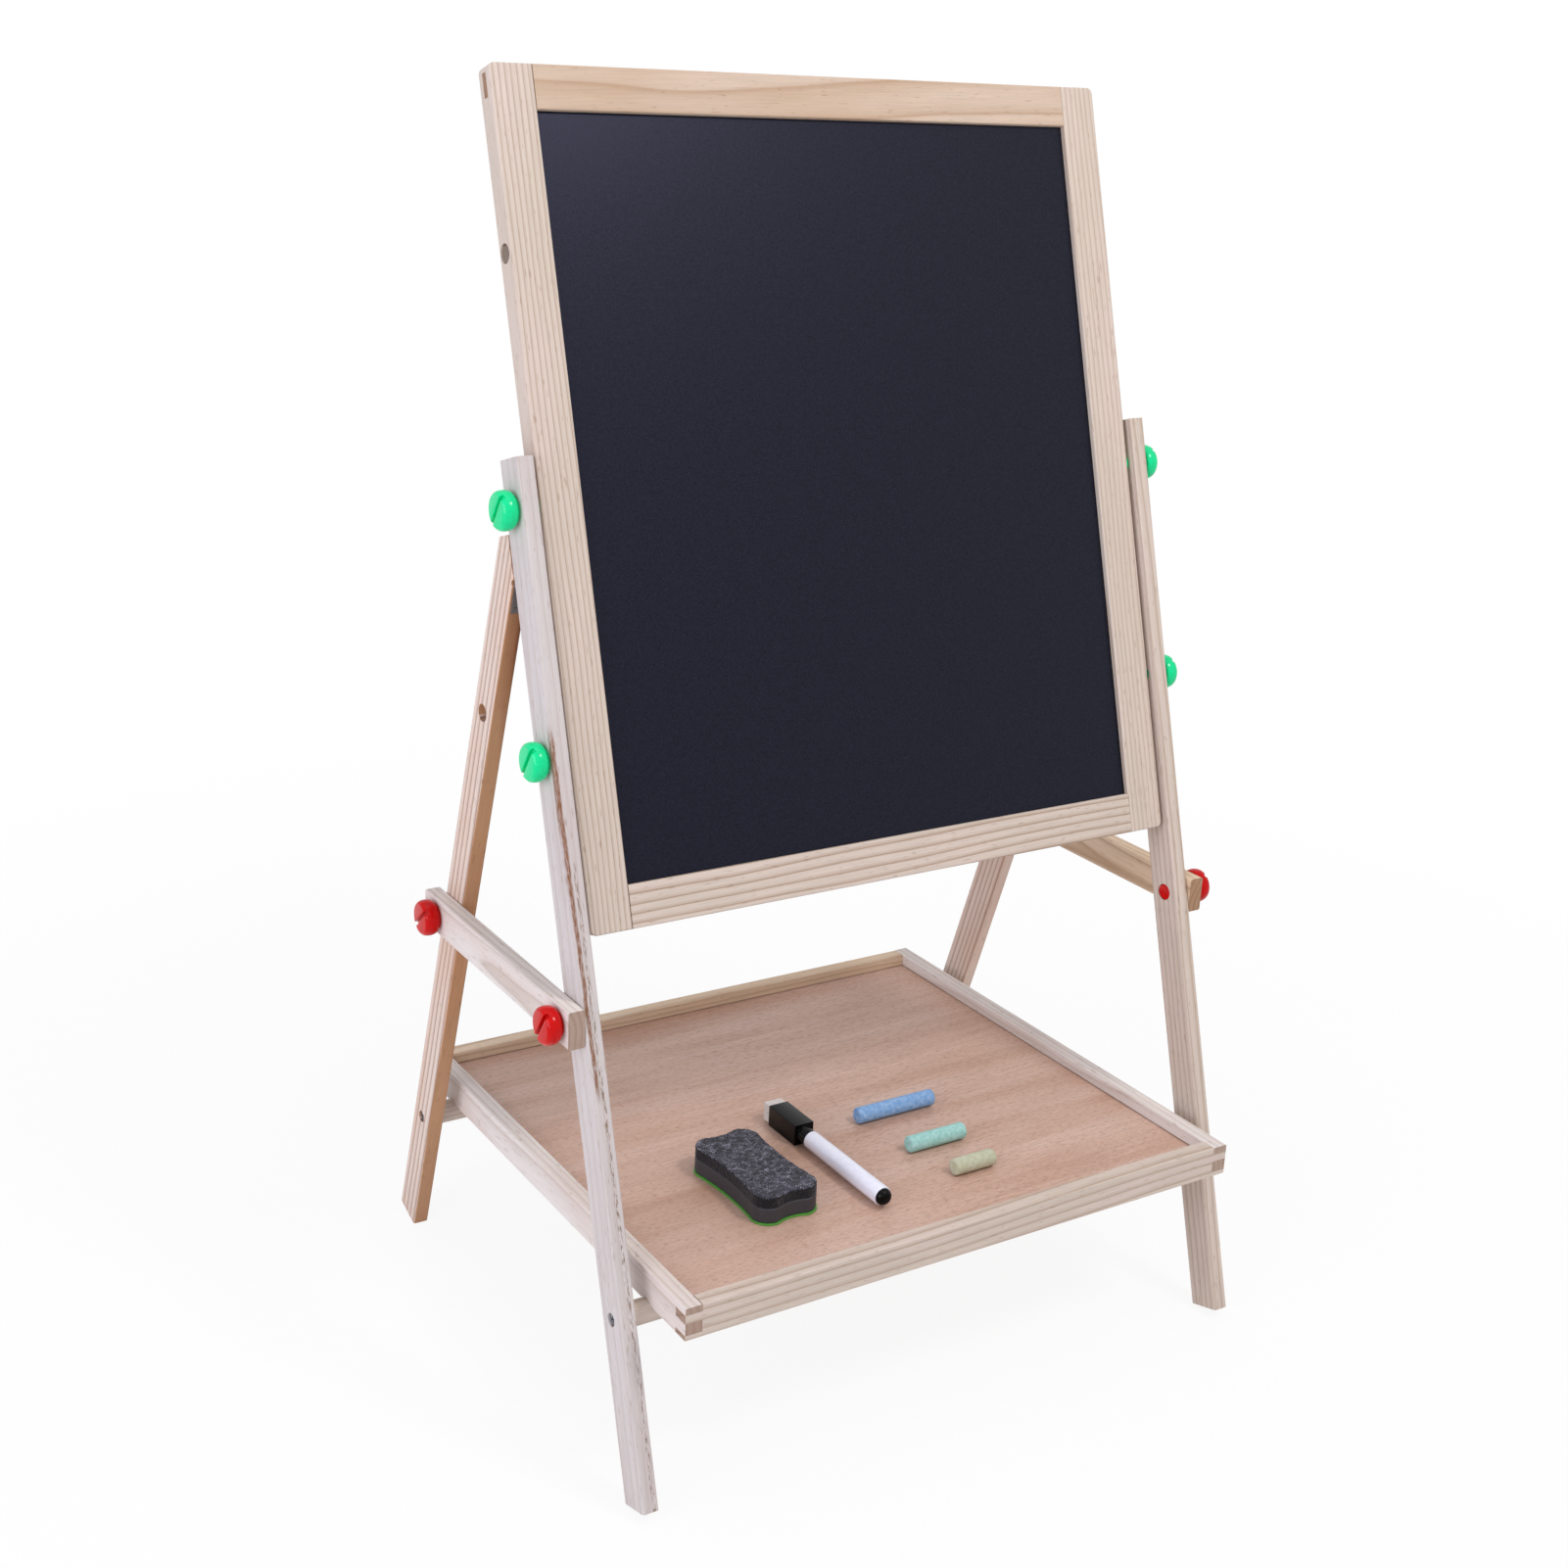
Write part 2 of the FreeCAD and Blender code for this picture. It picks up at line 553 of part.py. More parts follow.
def stile(side):
    """Upright of the board's frame: grooved for the sheets, slotted through for the rails'
    tenons, and with three bolt holes in its outer edge."""
    body = new_body("Stile")
    corners = [("opening_half", "board_front"), ("board_half", "board_front"),
               ("board_half", "board_back"), ("opening_half", "board_back"),
               ("opening_half", "groove_back"), ("opening_half + groove_depth", "groove_back"),
               ("opening_half + groove_depth", "groove_front"), ("opening_half", "groove_front")]
    if side == "left":
        corners = [(f"-({x})", y) for x, y in reversed(corners)]
    sketch = new_sketch(body, "XY_Plane", "board_bottom")
    outline(sketch, corners)
    pad(body, sketch, "board_height")
    middle = "(board_front + board_back) / 2"
    slots = new_sketch(body, "YZ_Plane", "-board_half - 1")
    thick = "tenon_thickness / 2 + joinery_gap"
    for low in ("board_bottom + tenon_edge", "board_top - tenon_edge - tenon_height"):
        rectangle(slots, f"{middle} - ({thick})", f"{low} - joinery_gap", f"{middle} + {thick}",
                  f"{low} + tenon_height + joinery_gap")
    pocket(body, slots, "2 * board_half + 2", True)
    holes = new_sketch(body, "YZ_Plane", "board_half" if side == "right" else "-board_half")
    for step in ("-1", "0", "1"):
        ring(holes, middle, f"upper_bolt_height + {step} * bolt_hole_spacing", "stile_hole_radius")
    pocket(body, holes, "stile_hole_depth", side == "left")
    edge = value("board_half") * side_sign(side)

    def outer_corner(item):
        return runs_along(1, 5)(item) and abs(item.Vertexes[0].Point.x - edge) < 1e-6 \
            and min(abs(item.Vertexes[0].Point.z - value("board_bottom")),
                    abs(item.Vertexes[0].Point.z - value("board_top"))) < 1e-6

    def long_outer(item):
        return runs_along(2, 300)(item) and min(
            abs(item.Vertexes[0].Point.y - value("board_front")),
            abs(item.Vertexes[0].Point.y - value("board_back"))) < 1e-6
    round_edges(body, "board_corner_round", outer_corner)
    round_edges(body, "board_edge_round", long_outer)
    return seat(body, f"board_stile_{side}", FRONT)


def rail(name, low, high, groove_edge, tenon_low):
    """Cross rail of the board's frame, grooved along the edge that faces the sheets."""
    body = new_body("Rail")
    sketch = new_sketch(body, "YZ_Plane", "-opening_half + joinery_gap / 2")
    inner = high if groove_edge == "top" else low
    step = "- groove_depth" if groove_edge == "top" else "+ groove_depth"
    groove = [("groove_back", inner), ("groove_back", f"{inner} {step}"),
              ("groove_front", f"{inner} {step}"), ("groove_front", inner)]
    if groove_edge == "top":
        corners = [("board_front", low), ("board_back", low), ("board_back", high)] + groove \
            + [("board_front", high)]
    else:
        corners = [("board_front", low)] + groove[::-1] + [("board_back", low), ("board_back", high),
                                                            ("board_front", high)]
    outline(sketch, corners)
    pad(body, sketch, "2 * opening_half - joinery_gap")
    middle = "(board_front + board_back) / 2"
    tenon = new_sketch(body, "YZ_Plane", "-board_half + joinery_gap")
    rectangle(tenon, f"{middle} - tenon_thickness / 2", tenon_low, f"{middle} + tenon_thickness / 2",
              f"{tenon_low} + tenon_height")
    pad(body, tenon, "2 * board_half - 2 * joinery_gap")
    # a stub the width of the groove closes the stile's groove at the frame's outer edge
    stub = new_sketch(body, "YZ_Plane", "-opening_half - groove_depth + joinery_gap")
    stub_low, stub_high = (low, f"{high} - groove_depth") if groove_edge == "top" \
        else (f"{low} + groove_depth", high)
    rectangle(stub, "groove_front + joinery_gap", stub_low, "groove_back - joinery_gap", stub_high)
    pad(body, stub, "2 * (opening_half + groove_depth - joinery_gap)")

    def face_edge(item):
        return runs_along(0, 200)(item) and min(
            abs(item.Vertexes[0].Point.y - value("board_front")),
            abs(item.Vertexes[0].Point.y - value("board_back"))) < 1e-6
    round_edges(body, "board_edge_round", face_edge)
    return seat(body, f"board_rail_{name}", FRONT)


def sheet_panel(label, start):
    """A flat sheet held in the frame's grooves."""
    margin = "groove_depth - seat_gap"
    panel = box(f"-opening_half - ({margin})", start, f"opening_bottom - ({margin})",
                f"2 * (opening_half + {margin})", "sheet_thickness",
                f"opening_top - opening_bottom + 2 * ({margin})")
    return seat(panel, label, FRONT)


# ---- plastic bolts -----------------------------------------------------------------------

def bolt(label, side, face, tip, frame, y, z, slot_turn):
    """A moulded bolt with a slotted drum head.  face is the X of the surface that its collar
    stands on and tip the X of its end, both measured outward from the middle."""
    body = new_body("Bolt")
    reach = f"({face}) - ({tip})"
    head = "bolt_collar_height + bolt_head_height"
    profile = [
        (f"-({reach})", "0"),
        (head, "0"),
        (head, "bolt_head_radius - bolt_face_chamfer"),
        (f"{head} - bolt_face_chamfer", "bolt_head_radius"),
        ("bolt_collar_height + bolt_back_chamfer", "bolt_head_radius"),
        ("bolt_collar_height", "bolt_head_radius - bolt_back_chamfer"),
        ("bolt_collar_height", "bolt_collar_radius"),
        ("seat_gap / 3", "bolt_collar_radius"),
        ("seat_gap / 3", "bolt_radius"),
        (f"-({reach}) + bolt_tip_chamfer", "bolt_radius"),
        (f"-({reach})", "bolt_radius - bolt_tip_chamfer"),
    ]
    bowed = {3: "bolt_head_bulge"}
    points = [p + (bowed[i],) if i in bowed else p for i, p in enumerate(profile)]
    sketch = new_sketch(body, "XY_Plane")
    outline(sketch, points)
    revolve = body.newObject("PartDesign::Revolution", "Revolution")
    revolve.Profile = sketch
    revolve.ReferenceAxis = (sketch, ["H_Axis"])
    revolve.Angle = 360
    body.Tip = revolve
    slot = new_sketch(body, "YZ_Plane", head)
    half = "bolt_slot_width / 2"
    far = "bolt_head_radius + 3"
    corners = []
    for along, aside in ((f"-({far})", f"-({half})"), (far, f"-({half})"), (far, half), (f"-({far})", half)):
        corners.append((f"({along}) * cos({slot_turn}) - ({aside}) * sin({slot_turn})",
                        f"({along}) * sin({slot_turn}) + ({aside}) * cos({slot_turn})"))
    outline(slot, corners)
    pocket(body, slot, "bolt_slot_depth", False)
    turned = doc.addObject("Part::Compound", "Turned")
    turned.Links = [body]
    # the head points outward: to +X on the right, and turned about Z to -X on the left
    if side == "left":
        body.Placement = FreeCAD.Placement(FreeCAD.Vector(), FreeCAD.Rotation(FreeCAD.Vector(0, 0, 1), 180))
    bind(body, "Placement.Base.x", face if side == "right" else f"-({face})")
    bind(body, "Placement.Base.y", y)
    bind(body, "Placement.Base.z", z)
    return seat(turned, label, frame)


def bolts(side):
    """Two green bolts that carry the board and two red ones that hold the brace."""
    turn = "bolt_slot_turn" if side == "right" else "-bolt_slot_turn"
    bolt(f"green_bolt_upper_{side}", side, "half_outside", "board_half - upper_bolt_reach", FRONT,
         "-bolt_depth", "upper_bolt_height", turn)
    bolt(f"green_bolt_lower_{side}", side, "half_outside", "half_inside + seat_gap", FRONT,
         "-bolt_depth", "lower_bolt_height", turn)
    bolt(f"red_bolt_front_{side}", side, "brace_outer", "half_inside", FRONT, "-bolt_depth",
         "red_bolt_height", turn)
    bolt(f"red_bolt_rear_{side}", side, "brace_outer", "brace_inner", BRACE, "brace_spacing", "0", turn)


# ---- braces ------------------------------------------------------------------------------

def brace(side):
    """A flat bar on the outside of the legs, bolted to both."""
    body = new_body("Brace")
    sketch = new_sketch(body, "YZ_Plane", "brace_inner" if side == "right" else "-brace_outer")
    rectangle(sketch, "-brace_front_overhang", "-brace_depth / 2", "brace_spacing + brace_rear_overhang",
              "brace_depth / 2")
    ring(sketch, "0", "0", "hole_radius")
    ring(sketch, "brace_spacing", "0", "hole_radius")
    pad(body, sketch, "brace_thickness")
    round_edges(body, "leg_edge_round", runs_along(1, 50))
    return seat(body, f"brace_{side}", BRACE)


# ---- tray --------------------------------------------------------------------------------

def finger_side(low, high):
    """Outline of a wall's face with fingers of the first and third rows cut away at both ends."""
    wall = "tray_wall"
    gap = "joinery_gap"
    return [
        (low, "tray_bottom"), (high, "tray_bottom"),
        (high, f"third_cut - {gap}"), (f"{high} - {wall}", f"third_cut - {gap}"),
        (f"{high} - {wall}", "second_cut"), (high, "second_cut"),
        (high, f"first_cut - {gap}"), (f"{high} - {wall}", f"first_cut - {gap}"),
        (f"{high} - {wall}", "tray_top"), (f"{low} + {wall}", "tray_top"),
        (f"{low} + {wall}", f"first_cut - {gap}"), (low, f"first_cut - {gap}"),
        (low, "second_cut"), (f"{low} + {wall}", "second_cut"),
        (f"{low} + {wall}", f"third_cut - {gap}"), (low, f"third_cut - {gap}"),
    ]


def notched_side(low, high):
    """Outline of a side wall's face: fingers of the second and fourth rows cut away."""
    wall = "tray_wall"
    gap = "joinery_gap"
    return [
        (f"{low} + {wall}", "tray_bottom"), (f"{high} - {wall}", "tray_bottom"),
        (f"{high} - {wall}", "third_cut"), (high, "third_cut"),
        (high, f"second_cut - {gap}"), (f"{high} - {wall}", f"second_cut - {gap}"),
        (f"{high} - {wall}", "first_cut"), (high, "first_cut"),
        (high, "tray_top"), (low, "tray_top"),
        (low, "first_cut"), (f"{low} + {wall}", "first_cut"),
        (f"{low} + {wall}", f"second_cut - {gap}"), (low, f"second_cut - {gap}"),
        (low, "third_cut"), (f"{low} + {wall}", "third_cut"),
    ]


def floor_groove(body, plane, offset, low, high, toward_positive):
    """Groove in a wall's inner face for the floor panel."""
    sketch = new_sketch(body, plane, offset)
    rectangle(sketch, low, "floor_bottom - joinery_gap", high, "floor_top + tray_floor_play")
    pocket(body, sketch, "tray_groove_depth", toward_positive)


def rim_edges(axis):
    """A test for a wall's long top edges."""
    def test(item):
        return runs_along(axis, 100)(item) and abs(item.Vertexes[0].Point.z - value("tray_top")) < 1e-6
    return test


def tray_end_wall(name, outer, inner):
    """Front or back wall, across the tray."""
    body = new_body("EndWall")
    front = name == "front"
    sketch = new_sketch(body, "XZ_Plane", f"-({inner if front else outer})")
    outline(sketch, finger_side("-tray_half", "tray_half"))
    pad(body, sketch, "tray_wall")
    edge = "tray_half - tray_wall + tray_groove_depth"
    floor_groove(body, "XZ_Plane", f"-({inner})", f"-({edge})", edge, front)
    round_edges(body, "tray_edge_round", rim_edges(0))
    return seat(body, f"tray_wall_{name}", TRAY)


def tray_side_wall(side):
    """Left or right wall, notched from below to sit over the two dowels."""
    body = new_body("SideWall")
    right = side == "right"
    start = "tray_half - tray_wall" if right else "-tray_half"
    sketch = new_sketch(body, "YZ_Plane", start)
    outline(sketch, notched_side("-tray_front", "tray_back"))
    pad(body, sketch, "tray_wall")
    inner = "tray_half - tray_wall" if right else "tray_wall - tray_half"
    floor_groove(body, "YZ_Plane", inner, "tray_wall - tray_front - tray_groove_depth",
                 "tray_back - tray_wall + tray_groove_depth", right)
    notches = new_sketch(body, "YZ_Plane", start)
    ring(notches, "0", "0", "notch_radius")
    ring(notches, "dowel_spacing", "0", "notch_radius")
    pocket(body, notches, "tray_wall", True)
    round_edges(body, "tray_edge_round", rim_edges(1))
    return seat(body, f"tray_wall_{side}", TRAY)


def tray_floor():
    reach = "tray_groove_depth - seat_gap"
    panel = box(f"tray_wall - tray_half - ({reach})", f"tray_wall - tray_front - ({reach})", "floor_bottom",
                f"tray_width - 2 * tray_wall + 2 * ({reach})",
                f"tray_front + tray_back - 2 * tray_wall + 2 * ({reach})", "tray_floor_thickness")
    return seat(panel, "tray_floor", TRAY)


# ---- what lies in the tray ---------------------------------------------------------------

def eraser_layer(label, low, height, inset):
    """One layer of the waisted eraser: four round lobes with hollow sides and ends between them."""
    body = new_body("EraserLayer")
    sketch = new_sketch(body, "XY_Plane", low)
    half = f"(eraser_length / 2 - {inset})"
    wide = f"(eraser_width / 2 - {inset})"
    lobe = f"(eraser_lobe - {inset})"
    bulge = f"({lobe} * eraser_lobe_bulge)"
    side_dip = "(eraser_waist - eraser_width) / 2"
    points = [
        (f"-{wide} + {lobe}", f"-{half}", "-eraser_end_dip"),
        (f"{wide} - {lobe}", f"-{half}", bulge),
        (wide, f"-{half} + {lobe}", side_dip),
        (wide, f"{half} - {lobe}", bulge),
        (f"{wide} - {lobe}", half, "-eraser_end_dip"),
        (f"-{wide} + {lobe}", half, bulge),
        (f"-{wide}", f"{half} - {lobe}", side_dip),
        (f"-{wide}", f"-{half} + {lobe}", bulge),
    ]
    outline(sketch, points)
    pad(body, sketch, height)
    body.Placement = FreeCAD.Placement(FreeCAD.Vector(), FreeCAD.Rotation(FreeCAD.Vector(0, 0, 1), 5))
    bind(body, "Placement.Base.x", "eraser_across")
    bind(body, "Placement.Base.y", "eraser_along")
    bind(body, "Placement.Rotation.Angle", "eraser_turn")
    return seat(pieces(body), label, TRAY)


def eraser():
    """The eraser lies on its magnetic base with its felt up."""
    low = "laid"
    for name, inset in (("base", "0"), ("body", "eraser_body_inset"), ("felt", "eraser_felt_inset")):
        height = f"eraser_{name}_height"
        eraser_layer(f"eraser_{name}", low, height, inset)
        low = f"{low} + {height}"


def marker():
    """Dry-wipe marker: barrel with end plug, neck and nib, and a square cap with a felt block."""
    def round_bar(along, radius, length):
        return cylinder("y", "marker_across", along, "marker_axis", radius, length)
    barrel = fuse(round_bar("barrel_start", "marker_radius", "marker_barrel_length"),
                  round_bar("barrel_end", "marker_neck_radius", "marker_neck_length"))
    seat(barrel, "marker_barrel", TRAY)
    plug_radius = "marker_radius - marker_plug_inset"
    seat(round_bar("marker_along", plug_radius, "marker_plug_length"), "marker_end_plug", TRAY)
    seat(round_bar("neck_end", "nib_radius", "nib_length"), "marker_nib", TRAY)
    half = "cap_width / 2"
    block = box(f"marker_across - {half}", "cap_start + cap_collar_length", "cap_bottom", "cap_width",
                "cap_length - cap_collar_length", "cap_width")
    collar = round_bar("cap_start", "cap_collar_radius", "cap_collar_length + 1")
    hollow = round_bar("cap_start - 1", "marker_neck_radius + seat_gap", "cap_length - cap_wall + 1")
    seat(cut(fuse(block, collar), hollow), "marker_cap", TRAY)
    size = "cap_width - 2 * cap_felt_inset"
    felt = box(f"marker_across - {half} + cap_felt_inset", "cap_end", "cap_bottom + cap_felt_inset", size,
               "cap_felt_length", size)
    seat(felt, "marker_cap_felt", TRAY)


def chalk(colour):
    """A round stick lying across the tray."""
    stick = cylinder("x", f"{colour}_across - {colour}_length / 2", f"{colour}_along",
                     "laid + chalk_radius", "chalk_radius", f"{colour}_length")
    return seat(stick, f"chalk_{colour}", TRAY)


# ---- the whole easel ---------------------------------------------------------------------

for side in ("left", "right"):
    front_leg(side)
    rear_leg(side)
    leaf(side, f"hinge_front_leaf_{side}", FRONT, ("pin_offset", "hinge_height"), 1, FRONT_SCREWS, (1,))
    leaf(side, f"hinge_rear_leaf_{side}", REAR, ("-pin_offset", "pin_to_foot"), -1, REAR_SCREWS, (0, 2))
    hinge_pin(side)
    stile(side)
    bolts(side)
    brace(side)
    tray_side_wall(side)

hinge_screws("hinge_front_screws", FRONT, -1, FRONT_SCREWS)
hinge_screws("hinge_rear_screws", REAR, 1, REAR_SCREWS)
dowel("front_dowel", FRONT, "-front_mid", "front_dowel_height")
dowel("rear_dowel", REAR, "rear_mid", "rear_dowel_height")
dowel_screws("front_dowel_screws", FRONT, "-front_mid", "front_dowel_height")
dowel_screws("rear_dowel_screws", REAR, "rear_mid", "rear_dowel_height")
rail("top", "opening_top", "board_top", "bottom", "board_top - tenon_edge - tenon_height")
rail("bottom", "board_bottom", "opening_bottom", "top", "board_bottom + tenon_edge")
sheet_panel("chalkboard_sheet", "groove_front")
sheet_panel("whiteboard_sheet", "groove_front + sheet_thickness")
tray_end_wall("front", "-tray_front", "tray_wall - tray_front")
tray_end_wall("back", "tray_back", "tray_back - tray_wall")
tray_floor()
eraser()
marker()
for colour in ("blue", "green", "yellow"):
    chalk(colour)

doc.recompute()

for thing in doc.Objects:
    if "Invalid" in thing.State or "Error" in thing.State:
        raise RuntimeError(f"{thing.Label} did not build: {thing.State}")

os.makedirs("parts", exist_ok=True)
for thing in SUB_PARTS:
    shape = thing.Shape
    if shape.isNull() or not shape.isValid() or not shape.Solids:
        raise RuntimeError(f"{thing.Label} has no valid solid")
    shape.exportStep(f"parts/{thing.Label}.step")
print(f"{len(SUB_PARTS)} sub-parts written")
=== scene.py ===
"""Looks of a child's double-sided pine easel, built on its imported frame."""

import logging
import math
from dataclasses import dataclass
from enum import Enum
from typing import Any, Callable, Sequence

import bmesh
import bpy
from mathutils import Matrix, Vector, noise


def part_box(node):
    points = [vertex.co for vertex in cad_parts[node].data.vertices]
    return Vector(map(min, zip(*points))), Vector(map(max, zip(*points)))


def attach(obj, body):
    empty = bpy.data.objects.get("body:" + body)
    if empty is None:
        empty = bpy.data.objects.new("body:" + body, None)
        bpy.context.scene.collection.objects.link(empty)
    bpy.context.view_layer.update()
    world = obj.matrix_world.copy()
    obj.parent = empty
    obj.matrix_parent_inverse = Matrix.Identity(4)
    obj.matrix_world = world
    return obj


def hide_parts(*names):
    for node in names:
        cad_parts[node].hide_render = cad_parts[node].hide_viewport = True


log = logging.getLogger("easel")

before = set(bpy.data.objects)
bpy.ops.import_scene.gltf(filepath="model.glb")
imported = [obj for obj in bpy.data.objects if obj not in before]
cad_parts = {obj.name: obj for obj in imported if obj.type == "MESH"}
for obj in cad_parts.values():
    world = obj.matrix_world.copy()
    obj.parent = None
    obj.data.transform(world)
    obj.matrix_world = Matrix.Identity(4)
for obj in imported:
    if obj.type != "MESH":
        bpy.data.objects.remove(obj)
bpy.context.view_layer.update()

MM = 0.001
# how far each group of pieces leans about the X axis at rest, in degrees
FRONT_LEAN = -19.7
REAR_LEAN = 14.9
TRAY_TILT = -3.508
BRACE_TILT = -3.016

# copied meshes: points this near are one, and faces within this angle are one flat face
SAME_POINT = 2e-6
FLAT_ANGLE = 0.8
# edges sharper than this are rounded on mouldings, in degrees
SHARP_EDGE = 24
MOULD_SEGMENTS = 3

RESIN_BROWN = "#8d6a4d"
END_GRAIN_STAIN = "#ab8a70"
BARK_BROWN = "#83583c"
PITH_BROWN = "#85705e"
FLECK_BROWN = "#8c6449"
FELT_CUT_SIDE = "#1d1c20"


# ---- small tools --------------------------------------------------------------------------

def linear(colour: str) -> tuple[float, float, float, float]:
    """Turn an sRGB hex colour into the linear values that shaders work in.

    Args:
        colour: six hex digits after a hash, such as "#c8141e".

    Returns:
        Red, green, blue and an alpha of 1.
    """
    parts = [int(colour[i:i + 2], 16) / 255 for i in (1, 3, 5)]
    return tuple(c / 12.92 if c <= 0.04045 else ((c + 0.055) / 1.055) ** 2.4 for c in parts) + (1.0,)


def add(tree: bpy.types.NodeTree, kind: str, settings: dict[str, Any] | None = None,
        inputs: dict[Any, Any] | None = None,
        stops: Sequence[tuple[float, str]] | None = None) -> bpy.types.Node:
    """Add a node to a tree with its settings, input values and links.

    Args:
        tree: the node tree.
        kind: the node's type name.
        settings: properties of the node itself.
        inputs: a value, or another node's output socket, for each input by name or number.
        stops: place and sRGB hex colour of each stop, for a colour ramp.

    Returns:
        The new node.
    """
    node = tree.nodes.new(kind)
    for name, setting in (settings or {}).items():
        setattr(node, name, setting)
    for name, given in (inputs or {}).items():
        if isinstance(given, bpy.types.NodeSocket):
            tree.links.new(given, node.inputs[name])
        else:
            node.inputs[name].default_value = given
    for number, (place, colour) in enumerate(stops or ()):
        elements = node.color_ramp.elements
        stop = elements[number] if number < 2 else elements.new(place)
        stop.position = place
        stop.color = linear(colour)
    return node


def new_material(name: str) -> tuple[bpy.types.Material, bpy.types.NodeTree, bpy.types.Node]:
    """Make an empty node material.

    Args:
        name: the material's name.

    Returns:
        The material, its node tree and its output node.
    """
    material = bpy.data.materials.new(name)
    material.use_nodes = True
    tree = material.node_tree
    tree.nodes.clear()
    return material, tree, add(tree, "ShaderNodeOutputMaterial")


def dress(node: str, material: bpy.types.Material) -> None:
    """Give a carried-over part of the frame its material."""
    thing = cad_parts[node]
    if not thing.material_slots:
        thing.data.materials.append(material)
    for slot in thing.material_slots:
        slot.material = material
    log.info("%s keeps its shape and is finished in %s", node, material.name)


def centre_of(node: str) -> Vector:
    """Middle of a node's box at rest."""
    low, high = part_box(node)
    return (Vector(low) + Vector(high)) / 2


def tilted_at(middle: Vector, tilt: float) -> Matrix:
    """Placement of something at a point, leaning about the X axis by degrees."""
    return Matrix.Translation(middle) @ Matrix.Rotation(math.radians(tilt), 4, "X")


def finish_piece(thing: bpy.types.Object, material: bpy.types.Material, body: str, slot: str,
                 *nodes: str) -> bpy.types.Object:
    """Dress a new piece, hang it on its body and hide the nodes that it stands for.

    Args:
        thing: the new mesh object.
        material: its finish.
        body: the body that it rides on.
        slot: the record's material slot; not used.
        nodes: the frame's nodes that it replaces.

    Returns:
        The same object.
    """
    thing.data.materials.clear()
    thing.data.materials.append(material)
    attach(thing, body)
    if nodes:
        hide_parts(*nodes)
    log.info("%s rides on %s, finished in %s", thing.name, body, material.name)
    return thing


def mesh_object(name: str, build: bmesh.types.BMesh, smooth: bool = True) -> bpy.types.Object:
    """Turn a bmesh into an object in the scene and free it."""
    mesh = bpy.data.meshes.new(name)
    bmesh.ops.recalc_face_normals(build, faces=build.faces)
    build.to_mesh(mesh)
    build.free()
    for face in mesh.polygons:
        face.use_smooth = smooth
    thing = bpy.data.objects.new(name, mesh)
    bpy.context.scene.collection.objects.link(thing)
    return thing


def apply_modifiers(thing: bpy.types.Object) -> None:
    """Keep what an object's modifiers make as its own mesh."""
    graph = bpy.context.evaluated_depsgraph_get()
    mesh = bpy.data.meshes.new_from_object(thing.evaluated_get(graph))
    old = thing.data
    thing.modifiers.clear()
    thing.data = mesh
    bpy.data.meshes.remove(old)


def copy_of(node: str, name: str) -> bpy.types.Object:
    """Copy a node's mesh into a new object, joined up and with flat faces whole again."""
    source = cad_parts[node]
    build = bmesh.new()
    build.from_mesh(source.data)
    build.transform(source.matrix_world)
    bmesh.ops.remove_doubles(build, verts=build.verts, dist=SAME_POINT)
    bmesh.ops.dissolve_limit(build, angle_limit=math.radians(FLAT_ANGLE), verts=build.verts,
                             edges=build.edges)
    return mesh_object(name, build)


def moulded_copy(node: str, name: str, width: float) -> bpy.types.Object:
    """Copy a node with its edges rounded, as moulded plastic leaves its tool.

    Args:
        node: the frame's node.
        name: the new piece's name.
        width: width of the rounding in metres.

    Returns:
        The rounded copy.
    """
    thing = copy_of(node, name)
    bevel = thing.modifiers.new("round", "BEVEL")
    bevel.width = width
    bevel.segments = MOULD_SEGMENTS
    bevel.limit_method = "ANGLE"
    bevel.angle_limit = math.radians(SHARP_EDGE)
    bevel.harden_normals = True
    apply_modifiers(thing)
    return thing


def soft_copy(node: str, name: str, voxel: float, rounds: int, fuzz: float,
              grain: float) -> bpy.types.Object:
    """Copy a node as felt or foam: edges worn round and the surface made uneven.

    Args:
        node: the frame's node.
        name: the new piece's name.
        voxel: size of the new mesh's faces in metres.
        rounds: how many times the mesh is smoothed.
        fuzz: greatest height of the unevenness in metres.
        grain: size of its lumps in metres.

    Returns:
        The soft copy.
    """
    thing = copy_of(node, name)
    remesh = thing.modifiers.new("remesh", "REMESH")
    remesh.mode = "VOXEL"
    remesh.voxel_size = voxel
    remesh.use_smooth_shade = True
    smooth = thing.modifiers.new("smooth", "SMOOTH")
    smooth.iterations = rounds
    smooth.factor = 0.5
    apply_modifiers(thing)
    mesh = thing.data
    normals = [v.normal.copy() for v in mesh.vertices]
    for vertex, normal in zip(mesh.vertices, normals):
        lump = noise.noise(vertex.co / grain) * 0.6 + noise.noise(vertex.co / grain * 2.3) * 0.4
        vertex.co += normal * (lump - 0.5) * fuzz
    mesh.update()
    return thing


